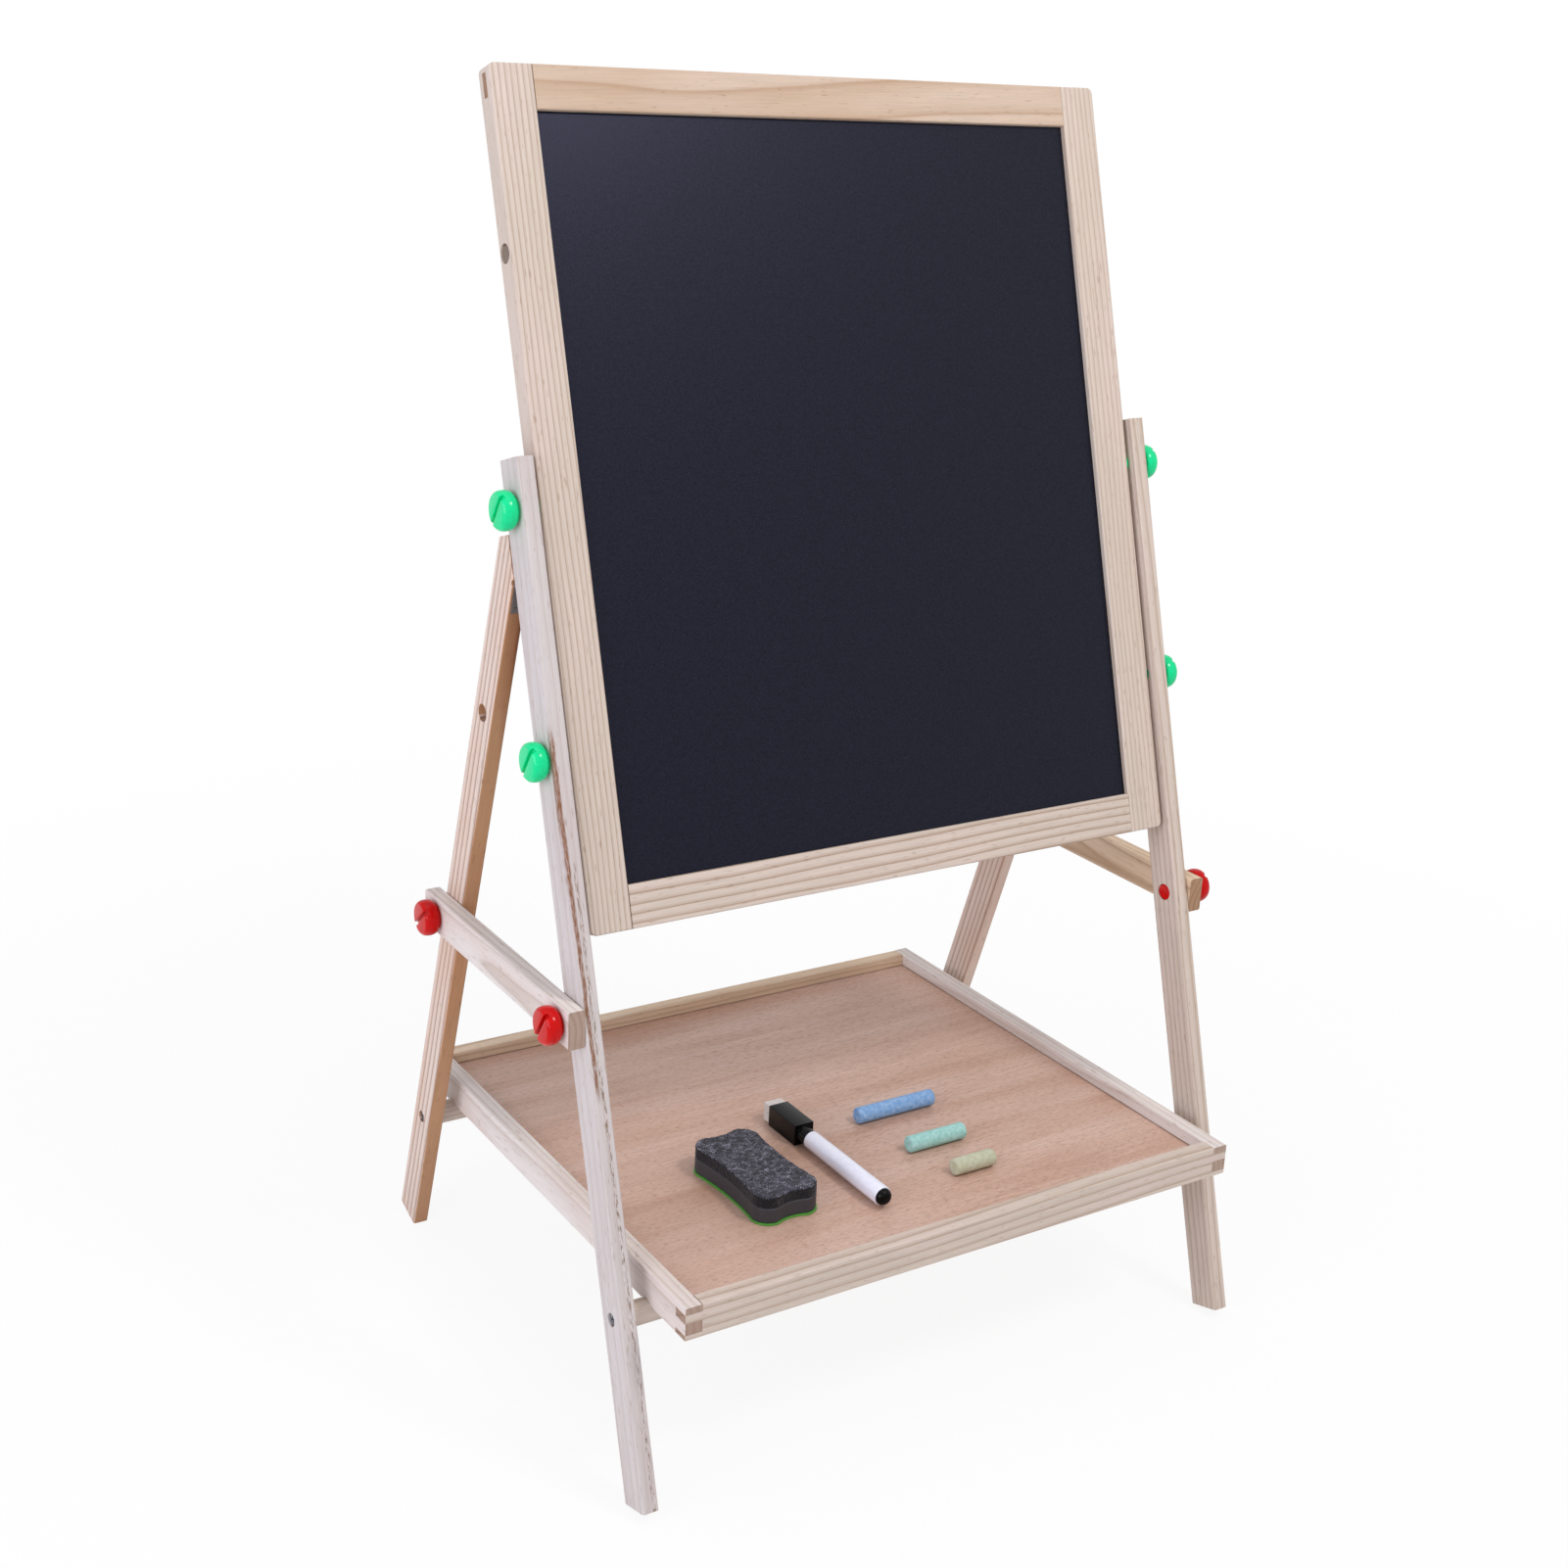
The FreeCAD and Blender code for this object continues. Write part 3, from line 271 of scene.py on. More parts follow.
def turned(name: str, profile: Sequence[tuple[float, float]], place: Matrix, axis: str,
           segments: int = 64, wear: Callable[[Vector], float] | None = None) -> bpy.types.Object:
    """Turn a profile about an axis, as on a lathe.

    Args:
        name: the new piece's name.
        profile: distance along the axis and radius of each point, in metres.
        place: where the piece's own origin and axes go.
        axis: the piece's own axis that it is turned about, "X" or "Y".
        segments: how many faces go round.
        wear: gives how far each point sinks towards the axis, in metres.

    Returns:
        The turned piece.
    """
    build = bmesh.new()
    rings = []
    for along, radius in profile:
        ring = []
        count = segments if radius > 1e-7 else 1
        for step in range(count):
            angle = 2 * math.pi * step / segments
            a, b = radius * math.cos(angle), radius * math.sin(angle)
            spot = Vector((along, a, b)) if axis == "X" else Vector((a, along, b))
            if wear and radius > 1e-7:
                sunk = wear(spot)
                hub = Vector((along, 0, 0)) if axis == "X" else Vector((0, along, 0))
                spot = hub + (spot - hub) * (1 - sunk / radius)
            ring.append(build.verts.new(place @ spot))
        rings.append(ring)
    for one, two in zip(rings, rings[1:]):
        for step in range(segments):
            after = (step + 1) % segments
            corners = [one[step % len(one)], one[after % len(one)],
                       two[after % len(two)], two[step % len(two)]]
            unique = list(dict.fromkeys(corners))
            if len(unique) > 2:
                build.faces.new(unique)
    return mesh_object(name, build)


# ---- finishes: wood ----------------------------------------------------------------------

class Run(Enum):
    """Which of a piece's own axes its grain follows, as the turn that brings it upright."""

    ACROSS = (0.0, -90.0, 0.0)
    BACK = (90.0, 0.0, 0.0)
    UP = (0.0, 0.0, 0.0)


class Tone(Enum):
    """Light early wood, darker late wood and patches of one board of pine, as sRGB."""

    CREAM = ("#cfc1b3", "#a0846b", "#d5c5b9")
    PALE = ("#cfc8c5", "#ad9c8d", "#cabfbc")
    ORANGE = ("#c6ad95", "#ab8868", "#cdb8a4")
    PINK = ("#e2d0c3", "#946848", "#dcc0ae")
    TAN = ("#dcc2a4", "#a07a56", "#e2ccb2")
    IVORY = ("#e2dad4", "#b7a393", "#dccfc7")


@dataclass(frozen=True)
class PineFinish:
    """Planed and sanded pine, left bare.

    Growth rings of 2 to 5 mm show as darker late-wood lines along the piece and as arcs on its
    ends.  Fine fibres and short resin ducts follow the grain, and a dry surface scatters light
    with only a faint sheen.
    """

    name: str
    tilt: float
    run: Run
    heart_mm: tuple[float, float]
    tone: Tone = Tone.CREAM
    ring_mm: float = 3.2
    drift: tuple[float, float] = (0.4, -0.3)
    contrast: float = 0.8
    seed: float = 0.0
    barky: bool = False
    # tint multiplied into the face that looks forwards: painted shade
    forward_face_shade_tint: str = "#ffffff"

    def material(self, middle: Vector) -> bpy.types.Material:
        """Make the wood for one piece.

        Args:
            middle: middle of the piece, which its heart is measured from.

        Returns:
            The material.
        """
        early, late, patch = (linear(c) for c in self.tone.value)
        material, tree, output = new_material(self.name)
        place = add(tree, "ShaderNodeTexCoord")
        own = add(tree, "ShaderNodeMapping", {"vector_type": "TEXTURE"}, {
            "Vector": place.outputs["Object"], "Location": middle,
            "Rotation": (math.radians(self.tilt), 0, 0)})
        turn = [math.radians(a) for a in self.run.value]
        turn[0] += math.radians(self.drift[0])
        turn[1] += math.radians(self.drift[1])
        grain = add(tree, "ShaderNodeMapping", {}, {
            "Vector": own.outputs[0], "Scale": (1000, 1000, 1000), "Rotation": turn,
            "Location": (-self.heart_mm[0], -self.heart_mm[1], self.seed * 371)})

        # slow wander of the rings: about 40 mm across the grain and 250 mm along it
        slow = add(tree, "ShaderNodeMapping", {}, {
            "Vector": grain.outputs[0], "Scale": (1 / 40, 1 / 40, 1 / 250)})
        wander = add(tree, "ShaderNodeTexNoise", {}, {
            "Vector": slow.outputs[0], "Scale": 1.0, "Detail": 2.0, "Roughness": 0.4})
        shift = add(tree, "ShaderNodeVectorMath", {"operation": "MULTIPLY"}, {
            0: wander.outputs["Color"], 1: (9, 9, 0)})
        bent = add(tree, "ShaderNodeVectorMath", {"operation": "ADD"}, {
            0: grain.outputs[0], 1: shift.outputs[0]})
        flat = add(tree, "ShaderNodeVectorMath", {"operation": "MULTIPLY"}, {
            0: bent.outputs[0], 1: (1, 1, 0)})
        radius = add(tree, "ShaderNodeVectorMath", {"operation": "LENGTH"}, {0: flat.outputs[0]})
        year = add(tree, "ShaderNodeMath", {"operation": "DIVIDE"}, {
            0: radius.outputs["Value"], 1: self.ring_mm})
        turn_of_year = add(tree, "ShaderNodeMath", {"operation": "FRACT"}, {0: year.outputs[0]})
        # early wood darkens slowly into late wood and ends sharply
        late_wood = add(tree, "ShaderNodeValToRGB", {}, {0: turn_of_year.outputs[0]}, [
            (0.0, "#777777"), (1.0, "#707070"), (0.1, "#000000"), (0.5, "#1c1c1c"), (0.8, "#a8a8a8"),
            (0.93, "#f4f4f4")])

        # fibres about 0.8 mm wide and 30 mm long
        fibre_place = add(tree, "ShaderNodeMapping", {}, {
            "Vector": grain.outputs[0], "Scale": (1 / 0.8, 1 / 0.8, 1 / 30)})
        fibre = add(tree, "ShaderNodeTexNoise", {}, {
            "Vector": fibre_place.outputs[0], "Scale": 1.0, "Detail": 3.0, "Roughness": 0.6})
        # resin ducts: dashes 0.7 mm wide and 7 mm long, drawn a little wide so that they show
        duct_place = add(tree, "ShaderNodeMapping", {}, {
            "Vector": grain.outputs[0], "Scale": (1 / 0.9, 1 / 0.9, 1 / 7),
            "Location": (17, 5, 3)})
        duct_noise = add(tree, "ShaderNodeTexNoise", {}, {
            "Vector": duct_place.outputs[0], "Scale": 1.0, "Detail": 1.0, "Roughness": 0.3})
        duct = add(tree, "ShaderNodeMapRange", {}, {
            "Value": duct_noise.outputs[0], "From Min": 0.66, "From Max": 0.76})
        # patches of warmer heartwood, 60 to 150 mm long
        patch_place = add(tree, "ShaderNodeMapping", {}, {
            "Vector": grain.outputs[0], "Scale": (1 / 22, 1 / 22, 1 / 110), "Location": (3, 9, 1)})
        patch_noise = add(tree, "ShaderNodeTexNoise", {}, {
            "Vector": patch_place.outputs[0], "Scale": 1.0, "Detail": 2.0})
        patches = add(tree, "ShaderNodeMapRange", {}, {
            "Value": patch_noise.outputs[0], "From Min": 0.42, "From Max": 0.68})

        base = add(tree, "ShaderNodeMix", {"data_type": "RGBA"}, {
            0: patches.outputs[0], 6: early, 7: patch})
        ring_strength = add(tree, "ShaderNodeMath", {"operation": "MULTIPLY"}, {
            0: late_wood.outputs[0], 1: self.contrast})
        ringed = add(tree, "ShaderNodeMix", {"data_type": "RGBA"}, {
            0: ring_strength.outputs[0], 6: base.outputs[2], 7: late})
        fibre_shade = add(tree, "ShaderNodeMapRange", {}, {
            "Value": fibre.outputs[0], "From Min": 0.25, "From Max": 0.75, "To Min": 0.9, "To Max": 1.06})
        fibred = add(tree, "ShaderNodeVectorMath", {"operation": "SCALE"}, {
            0: ringed.outputs[2], "Scale": fibre_shade.outputs[0]})
        duct_strength = add(tree, "ShaderNodeMath", {"operation": "MULTIPLY"}, {
            0: duct.outputs[0], 1: 0.42})
        ducted = add(tree, "ShaderNodeMix", {"data_type": "RGBA"}, {
            0: duct_strength.outputs[0], 6: fibred.outputs[0], 7: linear(RESIN_BROWN)})
        surface = ducted.outputs[2]
        if self.barky:
            surface = self.bark_streak(tree, own, surface)

        # end grain drinks light: its open pores look darker and warmer
        lengthways = add(tree, "ShaderNodeMapping", {"vector_type": "TEXTURE"}, {
            "Vector": place.outputs["Normal"], "Rotation": (math.radians(self.tilt), 0, 0)})
        upright = add(tree, "ShaderNodeMapping", {}, {
            "Vector": lengthways.outputs[0], "Rotation": [math.radians(a) for a in self.run.value]})
        facing = add(tree, "ShaderNodeSeparateXYZ", {}, {0: upright.outputs[0]})
        endness = add(tree, "ShaderNodeMath", {"operation": "ABSOLUTE"}, {0: facing.outputs[2]})
        end_grain = add(tree, "ShaderNodeMapRange", {}, {
            "Value": endness.outputs[0], "From Min": 0.75, "From Max": 0.97, "To Max": 0.75})
        whole = add(tree, "ShaderNodeMix", {"data_type": "RGBA", "blend_type": "MULTIPLY"}, {
            0: end_grain.outputs[0], 6: surface, 7: linear(END_GRAIN_STAIN)})

        # painted shade: the face that looks forwards is darkened and browned by a tint, standing in for the
        # shade that the front leg and the board cast on it
        sideways = add(tree, "ShaderNodeSeparateXYZ", {}, {0: lengthways.outputs[0]})
        forwards = add(tree, "ShaderNodeMath", {"operation": "LESS_THAN"}, {0: sideways.outputs[1], 1: -0.7})
        shade_tinted = add(tree, "ShaderNodeMix", {"data_type": "RGBA", "blend_type": "MULTIPLY"}, {
            0: forwards.outputs[0], 6: whole.outputs[2], 7: linear(self.forward_face_shade_tint)})

        relief = add(tree, "ShaderNodeMath", {"operation": "MULTIPLY_ADD"}, {
            0: late_wood.outputs[0], 1: 0.5, 2: fibre.outputs[0]})
        bump = add(tree, "ShaderNodeBump", {}, {
            "Height": relief.outputs[0], "Strength": 0.35, "Distance": 0.12 * MM})
        rough = add(tree, "ShaderNodeMapRange", {}, {
            "Value": fibre.outputs[0], "To Min": 0.62, "To Max": 0.5})
        shader = add(tree, "ShaderNodeBsdfPrincipled", {}, {
            "Base Color": shade_tinted.outputs[2], "Roughness": rough.outputs[0], "Normal": bump.outputs[0],
            "Specular IOR Level": 0.35})
        tree.links.new(shader.outputs[0], output.inputs[0])
        return material

    def line_along(self, tree: bpy.types.NodeTree, parts: bpy.types.Node, reach: tuple[float, float],
                   sides: tuple[float, float], half_width: float) -> bpy.types.NodeSocket:
        """Mask a thin line that runs along the piece's front face.

        Args:
            tree: the material's tree.
            parts: the node that splits the place in the piece's own frame, in metres.
            reach: where the line ends, along the piece, in millimetres from its middle.
            sides: how far to the side it lies at each of those ends, in millimetres.
            half_width: half its width in millimetres.

        Returns:
            The mask.
        """
        centre = add(tree, "ShaderNodeMapRange", {}, {
            "Value": parts.outputs[2], "From Min": reach[0] * MM, "From Max": reach[1] * MM,
            "To Min": sides[0] * MM, "To Max": sides[1] * MM})
        # it wanders half a millimetre to either side
        wander = add(tree, "ShaderNodeTexNoise", {"noise_dimensions": "1D"}, {
            "W": parts.outputs[2], "Scale": 60.0, "Detail": 3.0})
        strayed = add(tree, "ShaderNodeMath", {"operation": "MULTIPLY_ADD"}, {
            0: wander.outputs[0], 1: 1.6 * MM, 2: centre.outputs[0]})
        off = add(tree, "ShaderNodeMath", {"operation": "SUBTRACT"}, {
            0: parts.outputs[0], 1: strayed.outputs[0]})
        away = add(tree, "ShaderNodeMath", {"operation": "ABSOLUTE"}, {0: off.outputs[0]})
        band = add(tree, "ShaderNodeMapRange", {}, {
            "Value": away.outputs[0], "From Min": half_width * 0.5 * MM, "From Max": half_width * MM,
            "To Min": 1.0, "To Max": 0.0})
        above = add(tree, "ShaderNodeMapRange", {}, {
            "Value": parts.outputs[2], "From Min": (reach[0] - 12) * MM, "From Max": reach[0] * MM})
        below = add(tree, "ShaderNodeMapRange", {}, {
            "Value": parts.outputs[2], "From Min": reach[1] * MM, "From Max": (reach[1] + 12) * MM,
            "To Min": 1.0, "To Max": 0.0})
        front = add(tree, "ShaderNodeMath", {"operation": "LESS_THAN"}, {0: parts.outputs[1], 1: -7.5 * MM})
        mask = band.outputs[0]
        for part in (above, below, front):
            mask = add(tree, "ShaderNodeMath", {"operation": "MULTIPLY"}, {
                0: mask, 1: part.outputs[0]}).outputs[0]
        return mask

    def bark_streak(self, tree: bpy.types.NodeTree, own: bpy.types.Node,
                    surface: bpy.types.NodeSocket) -> bpy.types.NodeSocket:
        """Lay a brown streak of inner bark and a dotted line of pith below it on the front face.

        Args:
            tree: the material's tree.
            own: the node that gives places in the piece's own frame, in metres.
            surface: the colour so far.

        Returns:
            The colour with the streak.
        """
        parts = add(tree, "ShaderNodeSeparateXYZ", {}, {0: own.outputs[0]})
        streak = self.line_along(tree, parts, (-45, 128), (-2.6, -5.0), 1.5)
        dots = self.line_along(tree, parts, (-272, 60), (1.4, -0.6), 1.2)
        # crumbs of bark 0.8 mm across and 5 mm long
        crumb_place = add(tree, "ShaderNodeMapping", {}, {
            "Vector": own.outputs[0], "Scale": (1250, 1250, 200)})
        crumbs = add(tree, "ShaderNodeTexNoise", {}, {
            "Vector": crumb_place.outputs[0], "Scale": 1.0, "Detail": 3.0, "Roughness": 0.7})
        dense = add(tree, "ShaderNodeMapRange", {}, {
            "Value": crumbs.outputs[0], "From Min": 0.3, "From Max": 0.55, "To Min": 0.25})
        sparse = add(tree, "ShaderNodeMapRange", {}, {
            "Value": crumbs.outputs[0], "From Min": 0.48, "From Max": 0.6})
        for mask, share, colour in ((streak, dense, BARK_BROWN), (dots, sparse, PITH_BROWN)):
            amount = add(tree, "ShaderNodeMath", {"operation": "MULTIPLY"}, {0: mask, 1: share.outputs[0]})
            surface = add(tree, "ShaderNodeMix", {"data_type": "RGBA"}, {
                0: amount.outputs[0], 6: surface, 7: linear(colour)}).outputs[2]
        return surface


@dataclass(frozen=True)
class BeechVeneerFinish:
    """Rotary-cut beech veneer on thin ply, sealed.

    A pinkish tan ground with broad soft figure, covered in fine darker ray flecks that run with
    the grain across the tray, and a low satin sheen.
    """

    name: str = "beech veneer, rotary cut and sealed"
    tilt: float = TRAY_TILT
    fleck_mm: tuple[float, float] = (0.55, 4.0)

    def material(self, middle: Vector) -> bpy.types.Material:
        """Make the veneer, with its figure centred on a point."""
        material, tree, output = new_material(self.name)
        place = add(tree, "ShaderNodeTexCoord")
        own = add(tree, "ShaderNodeMapping", {"vector_type": "TEXTURE"}, {
            "Vector": place.outputs["Object"], "Location": middle,
            "Rotation": (math.radians(self.tilt), 0, math.radians(1.5))})
        wide, long = self.fleck_mm
        fleck_place = add(tree, "ShaderNodeMapping", {}, {
            "Vector": own.outputs[0], "Scale": (1000 / long, 1000 / wide, 1000 / wide)})
        fleck_noise = add(tree, "ShaderNodeTexNoise", {}, {
            "Vector": fleck_place.outputs[0], "Scale": 1.0, "Detail": 2.0, "Roughness": 0.5})
        fleck = add(tree, "ShaderNodeMapRange", {}, {
            "Value": fleck_noise.outputs[0], "From Min": 0.5, "From Max": 0.68})
        # broad figure: bands 25 mm wide that wander along the sheet
        figure_place = add(tree, "ShaderNodeMapping", {}, {
            "Vector": own.outputs[0], "Scale": (1000 / 240, 1000 / 26, 1)})
        figure = add(tree, "ShaderNodeTexNoise", {}, {
            "Vector": figure_place.outputs[0], "Scale": 1.0, "Detail": 4.0, "Roughness": 0.55,
            "Distortion": 0.4})
        ground = add(tree, "ShaderNodeValToRGB", {}, {0: figure.outputs[0]}, [
            (0.28, "#b7907b"), (0.72, "#d3b6a7"), (0.45, "#c6a390"), (0.58, "#cdad9c")])
        fine_place = add(tree, "ShaderNodeMapping", {}, {
            "Vector": own.outputs[0], "Scale": (1000 / 60, 1000 / 2.2, 1)})
        fine = add(tree, "ShaderNodeTexNoise", {}, {
            "Vector": fine_place.outputs[0], "Scale": 1.0, "Detail": 2.0})
        shade = add(tree, "ShaderNodeMapRange", {}, {
            "Value": fine.outputs[0], "From Min": 0.3, "From Max": 0.7, "To Min": 0.93, "To Max": 1.05})
        shaded = add(tree, "ShaderNodeVectorMath", {"operation": "SCALE"}, {
            0: ground.outputs[0], "Scale": shade.outputs[0]})
        strength = add(tree, "ShaderNodeMath", {"operation": "MULTIPLY"}, {0: fleck.outputs[0], 1: 0.5})
        colour = add(tree, "ShaderNodeMix", {"data_type": "RGBA"}, {
            0: strength.outputs[0], 6: shaded.outputs[0], 7: linear(FLECK_BROWN)})
        bump = add(tree, "ShaderNodeBump", {}, {
            "Height": fleck_noise.outputs[0], "Strength": 0.2, "Distance": 0.08 * MM})
        rough = add(tree, "ShaderNodeMapRange", {}, {
            "Value": fleck_noise.outputs[0], "To Min": 0.4, "To Max": 0.52})
        shader = add(tree, "ShaderNodeBsdfPrincipled", {}, {
            "Base Color": colour.outputs[2], "Roughness": rough.outputs[0], "Normal": bump.outputs[0],
            "Specular IOR Level": 0.45})
        tree.links.new(shader.outputs[0], output.inputs[0])
        return material


# ---- finishes: everything else ------------------------------------------------------------

@dataclass(frozen=True)
class MottledFinish:
    """A surface of one colour with fine unevenness in colour, gloss and relief.

    It serves plastics, paint, laminate, foam, magnetic sheet, felt and chalk, whose looks differ
    in how strong each of those is and in the size of the grain.
    """

    name: str
    colour: str
    other: str
    grain_mm: float
    spread: tuple[float, float]
    rough: tuple[float, float]
    relief_mm: float
    specular: float = 0.5
    coat: float = 0.0
    sheen: float = 0.0
    detail: float = 3.0
    gloss_tint: str = "#ffffff"

    def material(self) -> bpy.types.Material:
        """Make the material."""
        material, tree, output = new_material(self.name)
        place = add(tree, "ShaderNodeTexCoord")
        grain = add(tree, "ShaderNodeTexNoise", {}, {
            "Vector": place.outputs["Object"], "Scale": 1000 / self.grain_mm, "Detail": self.detail,
            "Roughness": 0.6})
        fraction = add(tree, "ShaderNodeMapRange", {}, {
            "Value": grain.outputs[0], "From Min": self.spread[0], "From Max": self.spread[1]})
        colour = add(tree, "ShaderNodeMix", {"data_type": "RGBA"}, {
            0: fraction.outputs[0], 6: linear(self.colour), 7: linear(self.other)})
        rough = add(tree, "ShaderNodeMapRange", {}, {
            "Value": grain.outputs[0], "To Min": self.rough[0], "To Max": self.rough[1]})
        bump = add(tree, "ShaderNodeBump", {}, {
            "Height": grain.outputs[0], "Strength": 0.6, "Distance": self.relief_mm * MM})
        shader = add(tree, "ShaderNodeBsdfPrincipled", {}, {
            "Base Color": colour.outputs[2], "Roughness": rough.outputs[0], "Normal": bump.outputs[0],
            "Specular IOR Level": self.specular, "Specular Tint": linear(self.gloss_tint),
            "Coat Weight": self.coat, "Coat Roughness": 0.08,
            "Sheen Weight": self.sheen, "Sheen Roughness": 0.5})
        tree.links.new(shader.outputs[0], output.inputs[0])
        return material


@dataclass(frozen=True)
class FeltFinish:
    """Needled grey felt: pale fibres a third of a millimetre wide tangled over black ones."""

    name: str = "needled polyester felt, grey"
    dark: str = "#131218"
    middle: str = "#34333d"
    pale: str = "#c6c6d8"

    def material(self) -> bpy.types.Material:
        """Make the felt."""
        material, tree, output = new_material(self.name)
        place = add(tree, "ShaderNodeTexCoord")
        # fibres lie every way: noise that is bent by a coarser noise draws short curls
        curl = add(tree, "ShaderNodeTexNoise", {}, {
            "Vector": place.outputs["Object"], "Scale": 1000 / 1.1, "Detail": 2.5, "Roughness": 0.75,
            "Distortion": 2.2})
        tangle = add(tree, "ShaderNodeTexNoise", {}, {
            "Vector": place.outputs["Object"], "Scale": 1000 / 3.5, "Detail": 2.0})
        both = add(tree, "ShaderNodeMath", {"operation": "MULTIPLY_ADD"}, {
            0: tangle.outputs[0], 1: 0.35, 2: curl.outputs[0]})
        colour = add(tree, "ShaderNodeValToRGB", {}, {0: both.outputs[0]}, [
            (0.6, self.dark), (0.88, self.pale), (0.69, self.middle), (0.77, "#666672")])
        facing = add(tree, "ShaderNodeSeparateXYZ", {}, {0: place.outputs["Normal"]})
        top = add(tree, "ShaderNodeMapRange", {}, {
            "Value": facing.outputs[2], "From Min": 0.2, "From Max": 0.85})
        # the cut side shows only fibre ends, which look black
        shown = add(tree, "ShaderNodeMix", {"data_type": "RGBA"}, {
            0: top.outputs[0], 6: linear(FELT_CUT_SIDE), 7: colour.outputs[0]})
        bump = add(tree, "ShaderNodeBump", {}, {
            "Height": curl.outputs[0], "Strength": 0.9, "Distance": 0.5 * MM})
        shader = add(tree, "ShaderNodeBsdfPrincipled", {}, {
            "Base Color": shown.outputs[2], "Roughness": 0.9, "Normal": bump.outputs[0],
            "Specular IOR Level": 0.2, "Sheen Weight": 0.2, "Sheen Roughness": 0.4})
        tree.links.new(shader.outputs[0], output.inputs[0])
        return material


@dataclass(frozen=True)
class SteelFinish:
    """Zinc-plated pressed steel: a grey metal with a soft, slightly cloudy shine."""

    name: str = "steel, pressed and zinc plated"
    colour: str = "#a9abb0"
    cloud: str = "#7f8187"

    def material(self) -> bpy.types.Material:
        """Make the plated steel."""
        material, tree, output = new_material(self.name)
        place = add(tree, "ShaderNodeTexCoord")
        cloud = add(tree, "ShaderNodeTexNoise", {}, {
            "Vector": place.outputs["Object"], "Scale": 1000 / 3, "Detail": 4.0})
        colour = add(tree, "ShaderNodeMix", {"data_type": "RGBA"}, {
            0: cloud.outputs[0], 6: linear(self.colour), 7: linear(self.cloud)})
        rough = add(tree, "ShaderNodeMapRange", {}, {
            "Value": cloud.outputs[0], "To Min": 0.28, "To Max": 0.5})
        shader = add(tree, "ShaderNodeBsdfPrincipled", {}, {
            "Base Color": colour.outputs[2], "Metallic": 1.0, "Roughness": rough.outputs[0]})
        tree.links.new(shader.outputs[0], output.inputs[0])
        return material


GREEN_PLASTIC = MottledFinish(
    "polyethylene, moulded, green", "#04e092", "#03d487", 2.5, (0.3, 0.7), (0.14, 0.2), 0.02,
    specular=0.25)
RED_PLASTIC = MottledFinish(
    "polyethylene, moulded, red", "#cc0504", "#bb0303", 2.5, (0.3, 0.7), (0.14, 0.2), 0.02,
    specular=0.16)
# sprayed paint leaves a stipple under a millimetre that keeps chalk
BOARD_PAINT = MottledFinish(
    "chalkboard paint, sprayed", "#07080c", "#181922", 1.0, (0.35, 0.65), (0.3, 0.38), 0.06,
    specular=0.24, gloss_tint="#cdd0ff")
LAMINATE = MottledFinish(
    "melamine laminate, dry wipe, gloss white", "#eef0f1", "#e9ebed", 6.0, (0.3, 0.7), (0.1, 0.16),
    0.01)
FOAM = MottledFinish(
    "EVA foam, charcoal, die cut", "#3b3a40", "#2c2b30", 0.6, (0.3, 0.7), (0.45, 0.65), 0.06,
    specular=0.45)
MAGNET = MottledFinish(
    "magnetic sheet, lime faced", "#5aa544", "#4e983a", 2.0, (0.3, 0.7), (0.35, 0.45), 0.02)
WHITE_PLASTIC = MottledFinish(
    "polypropylene, moulded, white", "#eceefa", "#e4e6f4", 3.0, (0.3, 0.7), (0.12, 0.2), 0.02,
    coat=0.3)
BLACK_PLASTIC = MottledFinish(
    "polypropylene, moulded, black", "#040405", "#070708", 3.0, (0.3, 0.7), (0.06, 0.1), 0.01,
    specular=0.12)
WHITE_FELT = MottledFinish(
    "wool felt, off white, soiled", "#dcd6cf", "#a9a5a2", 1.2, (0.45, 0.8), (0.85, 0.95), 0.35,
    specular=0.15, sheen=0.3)
INK_FELT = MottledFinish(
    "acrylic fibre nib, inked", "#101018", "#26263a", 0.5, (0.4, 0.7), (0.7, 0.85), 0.1)
CHALKS = {
    "blue": MottledFinish("chalk stick, cast, blue", "#74a0d2", "#9ebfe2", 2.4, (0.35, 0.7),
                          (0.88, 0.97), 0.18, specular=0.15),
    "green": MottledFinish("chalk stick, cast, mint", "#92c8bf", "#b4dcd8", 2.4, (0.35, 0.7),
                           (0.88, 0.97), 0.18, specular=0.15),
    "yellow": MottledFinish("chalk stick, cast, yellow", "#b6b99c", "#c8cab4", 2.4, (0.35, 0.7),
                            (0.88, 0.97), 0.18, specular=0.15),
}


# ---- the easel's sub-assemblies -----------------------------------------------------------

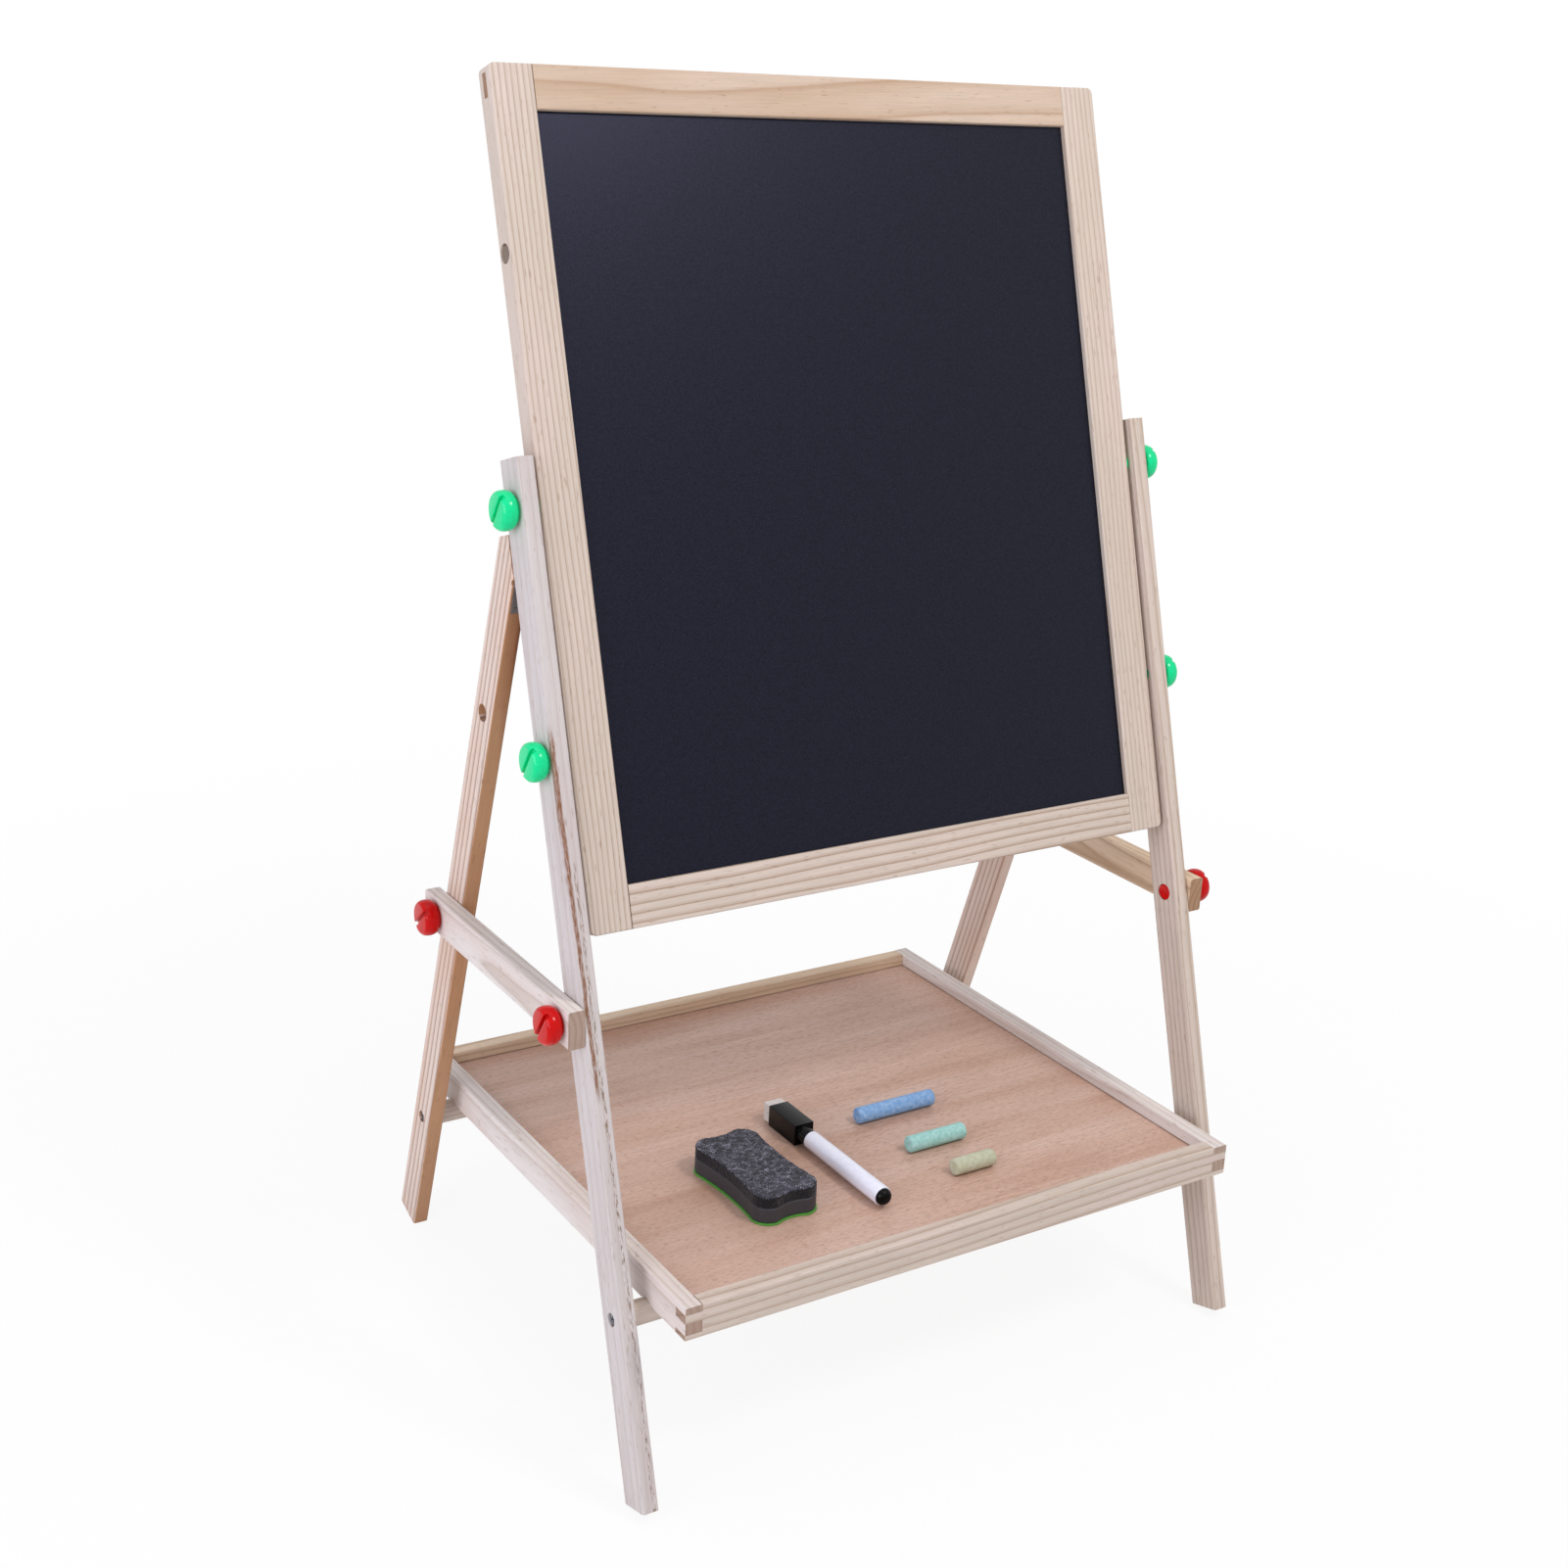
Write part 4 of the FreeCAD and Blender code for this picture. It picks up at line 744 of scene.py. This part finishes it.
@dataclass
class Legs:
    """Two long front legs, two rear legs, their dowels and the hinges between them."""

    steel: SteelFinish = SteelFinish()

    def woods(self) -> dict[str, PineFinish]:
        """The cut of each length of wood in the legs."""
        return {
            "front_leg_left": PineFinish(
                "pine, planed, pale, with inner bark", FRONT_LEAN, Run.UP, (-70, 46), Tone.PALE, 4.2,
                contrast=0.4, seed=1, barky=True),
            "front_leg_right": PineFinish(
                "pine, planed, warm", FRONT_LEAN, Run.UP, (-45, 70), Tone.CREAM, 3.4, contrast=0.7,
                seed=2),
            "rear_leg_left": PineFinish(
                "pine, planed, striped", REAR_LEAN, Run.UP, (-12, 70), Tone.PINK, 5.2, contrast=1.0,
                # its forward face is darkened by a tint: painted shade from the front leg and board
                seed=3, forward_face_shade_tint="#dcb893"),
            "rear_leg_right": PineFinish(
                "pine, planed, striped, right", REAR_LEAN, Run.UP, (-18, 60), Tone.PINK, 4.4,
                contrast=0.9, seed=4),
            "front_dowel": PineFinish(
                "pine dowel, turned", 0, Run.ACROSS, (10, 14), Tone.CREAM, 3.0, contrast=0.6,
                seed=5),
            "rear_dowel": PineFinish(
                "pine dowel, turned, rear", 0, Run.ACROSS, (-9, 12), Tone.CREAM, 3.0, contrast=0.6,
                seed=6),
        }

    def build(self) -> None:
        """Finish the legs, dowels, hinges and screws."""
        for node, wood in self.woods().items():
            dress(node, wood.material(centre_of(node)))
        steel = self.steel.material()
        for side in ("left", "right"):
            for node in ("hinge_front_leaf", "hinge_rear_leaf", "hinge_pin"):
                dress(f"{node}_{side}", steel)
        for node in ("hinge_front_screws", "hinge_rear_screws", "front_dowel_screws", "rear_dowel_screws"):
            dress(node, steel)


@dataclass
class Board:
    """The framed board: chalk in front and dry-wipe behind."""

    paint: MottledFinish = BOARD_PAINT
    laminate: MottledFinish = LAMINATE

    def woods(self) -> dict[str, PineFinish]:
        """The cut of each rail and stile."""
        return {
            "board_stile_left": PineFinish(
                "pine stile, quarter sawn", FRONT_LEAN, Run.UP, (70, 10), Tone.CREAM, 3.0,
                drift=(0.2, 0.35), seed=7),
            "board_stile_right": PineFinish(
                "pine stile, quarter sawn, right", FRONT_LEAN, Run.UP, (-66, 14), Tone.CREAM, 3.3,
                drift=(-0.2, 0.3), contrast=0.65, seed=8),
            "board_rail_top": PineFinish(
                "pine rail, flat sawn", FRONT_LEAN, Run.ACROSS, (4, 24), Tone.ORANGE, 4.6,
                drift=(0.5, 1.6), contrast=0.75, seed=9),
            "board_rail_bottom": PineFinish(
                "pine rail, rift sawn", FRONT_LEAN, Run.ACROSS, (-46, 26), Tone.CREAM, 4.3,
                drift=(0.3, 0.4), contrast=1.0, seed=10),
        }

    def build(self) -> None:
        """Finish the frame and both sheets."""
        for node, wood in self.woods().items():
            dress(node, wood.material(centre_of(node)))
        dress("chalkboard_sheet", self.paint.material())
        dress("whiteboard_sheet", self.laminate.material())


@dataclass
class Braces:
    """The bars that hold the legs apart."""

    def build(self) -> None:
        """Finish both braces."""
        left = PineFinish("pine brace, flat sawn", BRACE_TILT, Run.BACK, (-26, 6), Tone.IVORY, 3.6,
                          drift=(0.6, 0.5), contrast=0.7, seed=11)
        right = PineFinish("pine brace, flat sawn, right", BRACE_TILT, Run.BACK, (22, 9), Tone.TAN,
                           3.8, drift=(-0.5, 0.6), contrast=0.7, seed=12)
        dress("brace_left", left.material(centre_of("brace_left")))
        dress("brace_right", right.material(centre_of("brace_right")))


@dataclass
class Bolts:
    """Moulded bolts with slotted drum heads: green for the board, red for the braces."""

    rounding: float = 0.55 * MM
    green: MottledFinish = GREEN_PLASTIC
    red: MottledFinish = RED_PLASTIC

    def build(self) -> None:
        """Round each bolt's edges as its mould does and finish it."""
        green, red = self.green.material(), self.red.material()
        for side in ("left", "right"):
            for name, material, slot in (("green_bolt_upper", green, "green_plastic"),
                                         ("green_bolt_lower", green, "green_plastic"),
                                         ("red_bolt_front", red, "red_plastic"),
                                         ("red_bolt_rear", red, "red_plastic")):
                node = f"{name}_{side}"
                head = moulded_copy(node, f"{node}_moulding", self.rounding)
                finish_piece(head, material, node, slot, node)


@dataclass
class Tray:
    """The open tray: four finger-jointed walls and a veneered floor."""

    def build(self) -> None:
        """Finish the walls and the floor."""
        woods = {
            "tray_wall_front": PineFinish(
                "pine tray wall", TRAY_TILT, Run.ACROSS, (-30, 22), Tone.CREAM, 5.0, drift=(0.3, 0.5),
                contrast=0.75, seed=13),
            "tray_wall_back": PineFinish(
                "pine tray wall, back", TRAY_TILT, Run.ACROSS, (26, 14), Tone.TAN, 3.4, contrast=0.6,
                seed=14),
            "tray_wall_left": PineFinish(
                "pine tray wall, left", TRAY_TILT, Run.BACK, (-30, 10), Tone.IVORY, 4.0,
                contrast=0.6, seed=15),
            "tray_wall_right": PineFinish(
                "pine tray wall, right", TRAY_TILT, Run.BACK, (34, 8), Tone.IVORY, 4.0,
                contrast=0.6, seed=16),
        }
        for node, wood in woods.items():
            dress(node, wood.material(centre_of(node)))
        dress("tray_floor", BeechVeneerFinish().material(centre_of("tray_floor")))


@dataclass
class Eraser:
    """Waisted board rubber: felt on charcoal foam on a lime magnetic base."""

    voxel: float = 0.6 * MM
    felt: FeltFinish = FeltFinish()
    foam: MottledFinish = FOAM
    magnet: MottledFinish = MAGNET

    def build(self) -> None:
        """Make the felt uneven, ease the foam's edges and finish the base."""
        felt = soft_copy("eraser_felt", "eraser_felt_pad", self.voxel, 5, 0.45 * MM, 1.6 * MM)
        finish_piece(felt, self.felt.material(), "eraser", "grey_felt", "eraser_felt")
        foam = soft_copy("eraser_body", "eraser_foam_block", self.voxel, 2, 0.0, 1.0 * MM)
        finish_piece(foam, self.foam.material(), "eraser", "charcoal_foam", "eraser_body")
        dress("eraser_base", self.magnet.material())


@dataclass
class Marker:
    """Dry-wipe marker: white barrel, black plug, and a square black cap with a felt block."""

    radius: float = 5.6 * MM
    barrel: float = 74 * MM
    neck_radius: float = 4.0 * MM
    neck: float = 14 * MM
    plug: float = 4 * MM
    plug_radius: float = 5.0 * MM

    def build(self) -> None:
        """Turn the barrel and plug, round the cap and make the felt block."""
        start = centre_of("marker_end_plug")
        towards_cap = (centre_of("marker_cap_felt") - start).normalized()
        white, black = WHITE_PLASTIC.material(), BLACK_PLASTIC.material()

        place = tilted_at(start + towards_cap * self.plug / 2, TRAY_TILT)
        r, end, ease = self.radius, self.barrel, 0.4 * MM
        profile = [(0, 0), (0, r - 2 * ease), (ease * 0.3, r - ease), (ease, r - ease * 0.3),
                   (2 * ease, r), (end * 0.5, r), (end - 2 * ease, r), (end - ease, r - ease * 0.3),
                   (end - ease * 0.3, r - ease), (end, r - 2 * ease), (end, self.neck_radius),
                   (end + self.neck * 0.5, self.neck_radius), (end + self.neck, self.neck_radius),
                   (end + self.neck, 0)]
        barrel = turned("marker_barrel_turned", profile, place, "Y")
        finish_piece(barrel, white, "marker", "white_plastic", "marker_barrel")

        dome = [(0.0, 0.0)] + [(-self.plug * math.sin(a), self.plug_radius * math.cos(a) ** 0.7)
                               for a in (math.radians(d) for d in range(0, 86, 8))] + [(-self.plug, 0.0)]
        plug = turned("marker_plug_dome", dome, place, "Y")
        finish_piece(plug, black, "marker", "black_plastic", "marker_end_plug")

        cap = moulded_copy("marker_cap", "marker_cap_moulding", 0.6 * MM)
        finish_piece(cap, black, "marker_cap", "black_plastic", "marker_cap")
        felt = soft_copy("marker_cap_felt", "marker_cap_felt_block", 0.5 * MM, 3, 0.3 * MM, 1.2 * MM)
        finish_piece(felt, WHITE_FELT.material(), "marker_cap", "white_felt", "marker_cap_felt")
        dress("marker_nib", INK_FELT.material())


@dataclass
class Chalk:
    """One cast stick of chalk, a little worn and chipped at its ends."""

    colour: str
    length: float
    radius: float = 5 * MM

    def worn(self, spot: Vector) -> float:
        """How far the surface has sunk at a point of the stick, in metres."""
        lumps = noise.noise(spot / (2.2 * MM) + Vector((self.length * 900, 0, 0)))
        end = max(0.0, abs(spot.x) - self.length / 2 + 1.2 * MM) / (1.2 * MM)
        chips = max(0.0, noise.noise(spot / (1.7 * MM) + Vector((7, 3, self.length * 500)))) * end
        return (0.07 * (lumps + 1) + 0.5 * chips) * MM

    def build(self) -> None:
        """Turn the stick and finish it."""
        half, r = self.length / 2, self.radius
        steps = 28
        body = [(-half + 0.9 * MM + (2 * half - 1.8 * MM) * i / steps, r) for i in range(steps + 1)]
        rim = [(half - 0.5 * MM, r - 0.15 * MM), (half - 0.15 * MM, r - 0.45 * MM), (half, r - 0.9 * MM),
               (half, r * 0.5), (half, 0)]
        profile = [(-x, y) for x, y in reversed(rim)] + body + rim
        node = f"chalk_{self.colour}"
        place = tilted_at(centre_of(node), TRAY_TILT)
        stick = turned(f"{node}_stick", profile, place, "X", 48, self.worn)
        chalk = CHALKS[self.colour].material()
        finish_piece(stick, chalk, node, f"chalk_{self.colour}_stick", node)


# ---- studio ------------------------------------------------------------------------------

@dataclass
class Studio:
    """A white sweep, a soft pale sky and three soft lamps."""

    fill: float = 0.58
    key: float = 14.0
    side: float = 15.0
    top: float = 5.0

    def floor(self) -> None:
        """Lay the pale floor: it glows towards the camera and still takes a faint shadow."""
        build = bmesh.new()
        bmesh.ops.create_grid(build, x_segments=8, y_segments=8, size=4.0)
        floor = mesh_object("studio_floor", build, smooth=False)
        material, tree, output = new_material("seamless paper, matt white")
        place = add(tree, "ShaderNodeTexCoord")
        away = add(tree, "ShaderNodeVectorMath", {"operation": "LENGTH"}, {0: place.outputs["Object"]})
        fade = add(tree, "ShaderNodeMapRange", {}, {
            "Value": away.outputs["Value"], "From Min": 0.35, "From Max": 1.0, "To Min": 0.9, "To Max": 1.0})
        path = add(tree, "ShaderNodeLightPath")
        seen = add(tree, "ShaderNodeMath", {"operation": "MAXIMUM"}, {
            0: path.outputs["Is Camera Ray"], 1: path.outputs["Is Glossy Ray"]})
        share = add(tree, "ShaderNodeMath", {"operation": "MULTIPLY"}, {
            0: fade.outputs[0], 1: seen.outputs[0]})
        paper_grain = add(tree, "ShaderNodeTexNoise", {}, {
            "Vector": place.outputs["Object"], "Scale": 90.0, "Detail": 2.0})
        paper_colour = add(tree, "ShaderNodeValToRGB", {}, {0: paper_grain.outputs[0]}, [
            (0.3, "#f2f2f2"), (0.7, "#f6f6f6")])
        paper = add(tree, "ShaderNodeBsdfDiffuse", {}, {"Color": paper_colour.outputs[0]})
        glow = add(tree, "ShaderNodeEmission", {}, {"Color": (1, 1, 1, 1), "Strength": 1.0})
        both = add(tree, "ShaderNodeMixShader", {}, {0: share.outputs[0], 1: paper.outputs[0],
                                                     2: glow.outputs[0]})
        tree.links.new(both.outputs[0], output.inputs[0])
        floor.data.materials.append(material)

    def sky(self) -> None:
        """Set the world: white where it is seen, softer where it lights."""
        world = bpy.data.worlds.new("studio sky")
        bpy.context.scene.world = world
        world.use_nodes = True
        tree = world.node_tree
        tree.nodes.clear()
        path = add(tree, "ShaderNodeLightPath")
        one = add(tree, "ShaderNodeMath", {"operation": "MAXIMUM"}, {
            0: path.outputs["Is Camera Ray"], 1: path.outputs["Is Glossy Ray"]})
        two = add(tree, "ShaderNodeMath", {"operation": "MAXIMUM"}, {
            0: one.outputs[0], 1: path.outputs["Is Transmission Ray"]})
        seen = add(tree, "ShaderNodeBackground", {}, {"Color": (1, 1, 1, 1), "Strength": 1.0})
        lighting = add(tree, "ShaderNodeBackground", {}, {
            "Color": linear("#f6f4fb"), "Strength": self.fill})
        both = add(tree, "ShaderNodeMixShader", {}, {0: two.outputs[0], 1: lighting.outputs[0],
                                                     2: seen.outputs[0]})
        output = add(tree, "ShaderNodeOutputWorld")
        tree.links.new(both.outputs[0], output.inputs[0])

    def lamp(self, name: str, spot: Vector, target: Vector, size: float, power: float, colour: str) -> None:
        """Hang a soft square lamp.

        Args:
            name: the lamp's name.
            spot: where it hangs.
            target: what it points at.
            size: its side in metres.
            power: its power in watts.
            colour: its sRGB colour.
        """
        data = bpy.data.lights.new(name, "AREA")
        data.shape = "SQUARE"
        data.size = size
        data.energy = power
        data.color = linear(colour)[:3]
        lamp = bpy.data.objects.new(name, data)
        lamp.location = spot
        lamp.rotation_euler = (target - spot).to_track_quat("-Z", "Y").to_euler()
        bpy.context.scene.collection.objects.link(lamp)

    def build(self) -> None:
        """Set up floor, sky and lamps."""
        self.floor()
        self.sky()
        middle = centre_of("chalkboard_sheet")
        self.lamp("front softbox", middle + Vector((0.5, -1.05, 1.35)), middle, 0.4, self.key, "#fffaf6")
        self.lamp("left softbox", middle + Vector((-1.7, -0.5, 0.35)), middle, 1.1, self.side, "#f0f1ff")
        self.lamp("top softbox", middle + Vector((-0.2, 0.1, 1.6)), middle, 1.4, self.top, "#ffffff")


@dataclass
class Viewpoint:
    """Where the camera stands and how it is turned."""

    spot: tuple[float, float, float] = (-0.6404, -0.9079, 0.7574)
    heading: float = 33.383
    down: float = 21.548
    roll: float = 4.437
    lens: float = 47.81

    def build(self) -> None:
        """Set up the camera."""
        head, down, roll = (math.radians(a) for a in (self.heading, self.down, self.roll))
        ahead = Vector((math.sin(head) * math.cos(down), math.cos(head) * math.cos(down), -math.sin(down)))
        level = ahead.cross(Vector((0, 0, 1))).normalized()
        above = level.cross(ahead)
        right = level * math.cos(roll) + above * math.sin(roll)
        up = above * math.cos(roll) - level * math.sin(roll)
        data = bpy.data.cameras.new("viewpoint")
        data.lens = self.lens
        data.sensor_width = 36
        camera = bpy.data.objects.new("viewpoint", data)
        turn = Matrix((right, up, -ahead)).transposed().to_4x4()
        camera.matrix_world = Matrix.Translation(Vector(self.spot)) @ turn
        bpy.context.scene.collection.objects.link(camera)
        bpy.context.scene.camera = camera


def main() -> None:
    """Build the easel's looks and the studio in order."""
    logging.basicConfig(level=logging.INFO, format="%(message)s")
    Viewpoint().build()
    for assembly in (Legs(), Board(), Braces(), Bolts(), Tray(), Eraser(), Marker(),
                     Chalk("blue", 55 * MM), Chalk("green", 39.5 * MM), Chalk("yellow", 28 * MM),
                     Studio()):
        assembly.build()
        log.info("%s done", type(assembly).__name__)
    bpy.context.scene.view_settings.view_transform = "Standard"


if __name__ == "__main__":
    main()
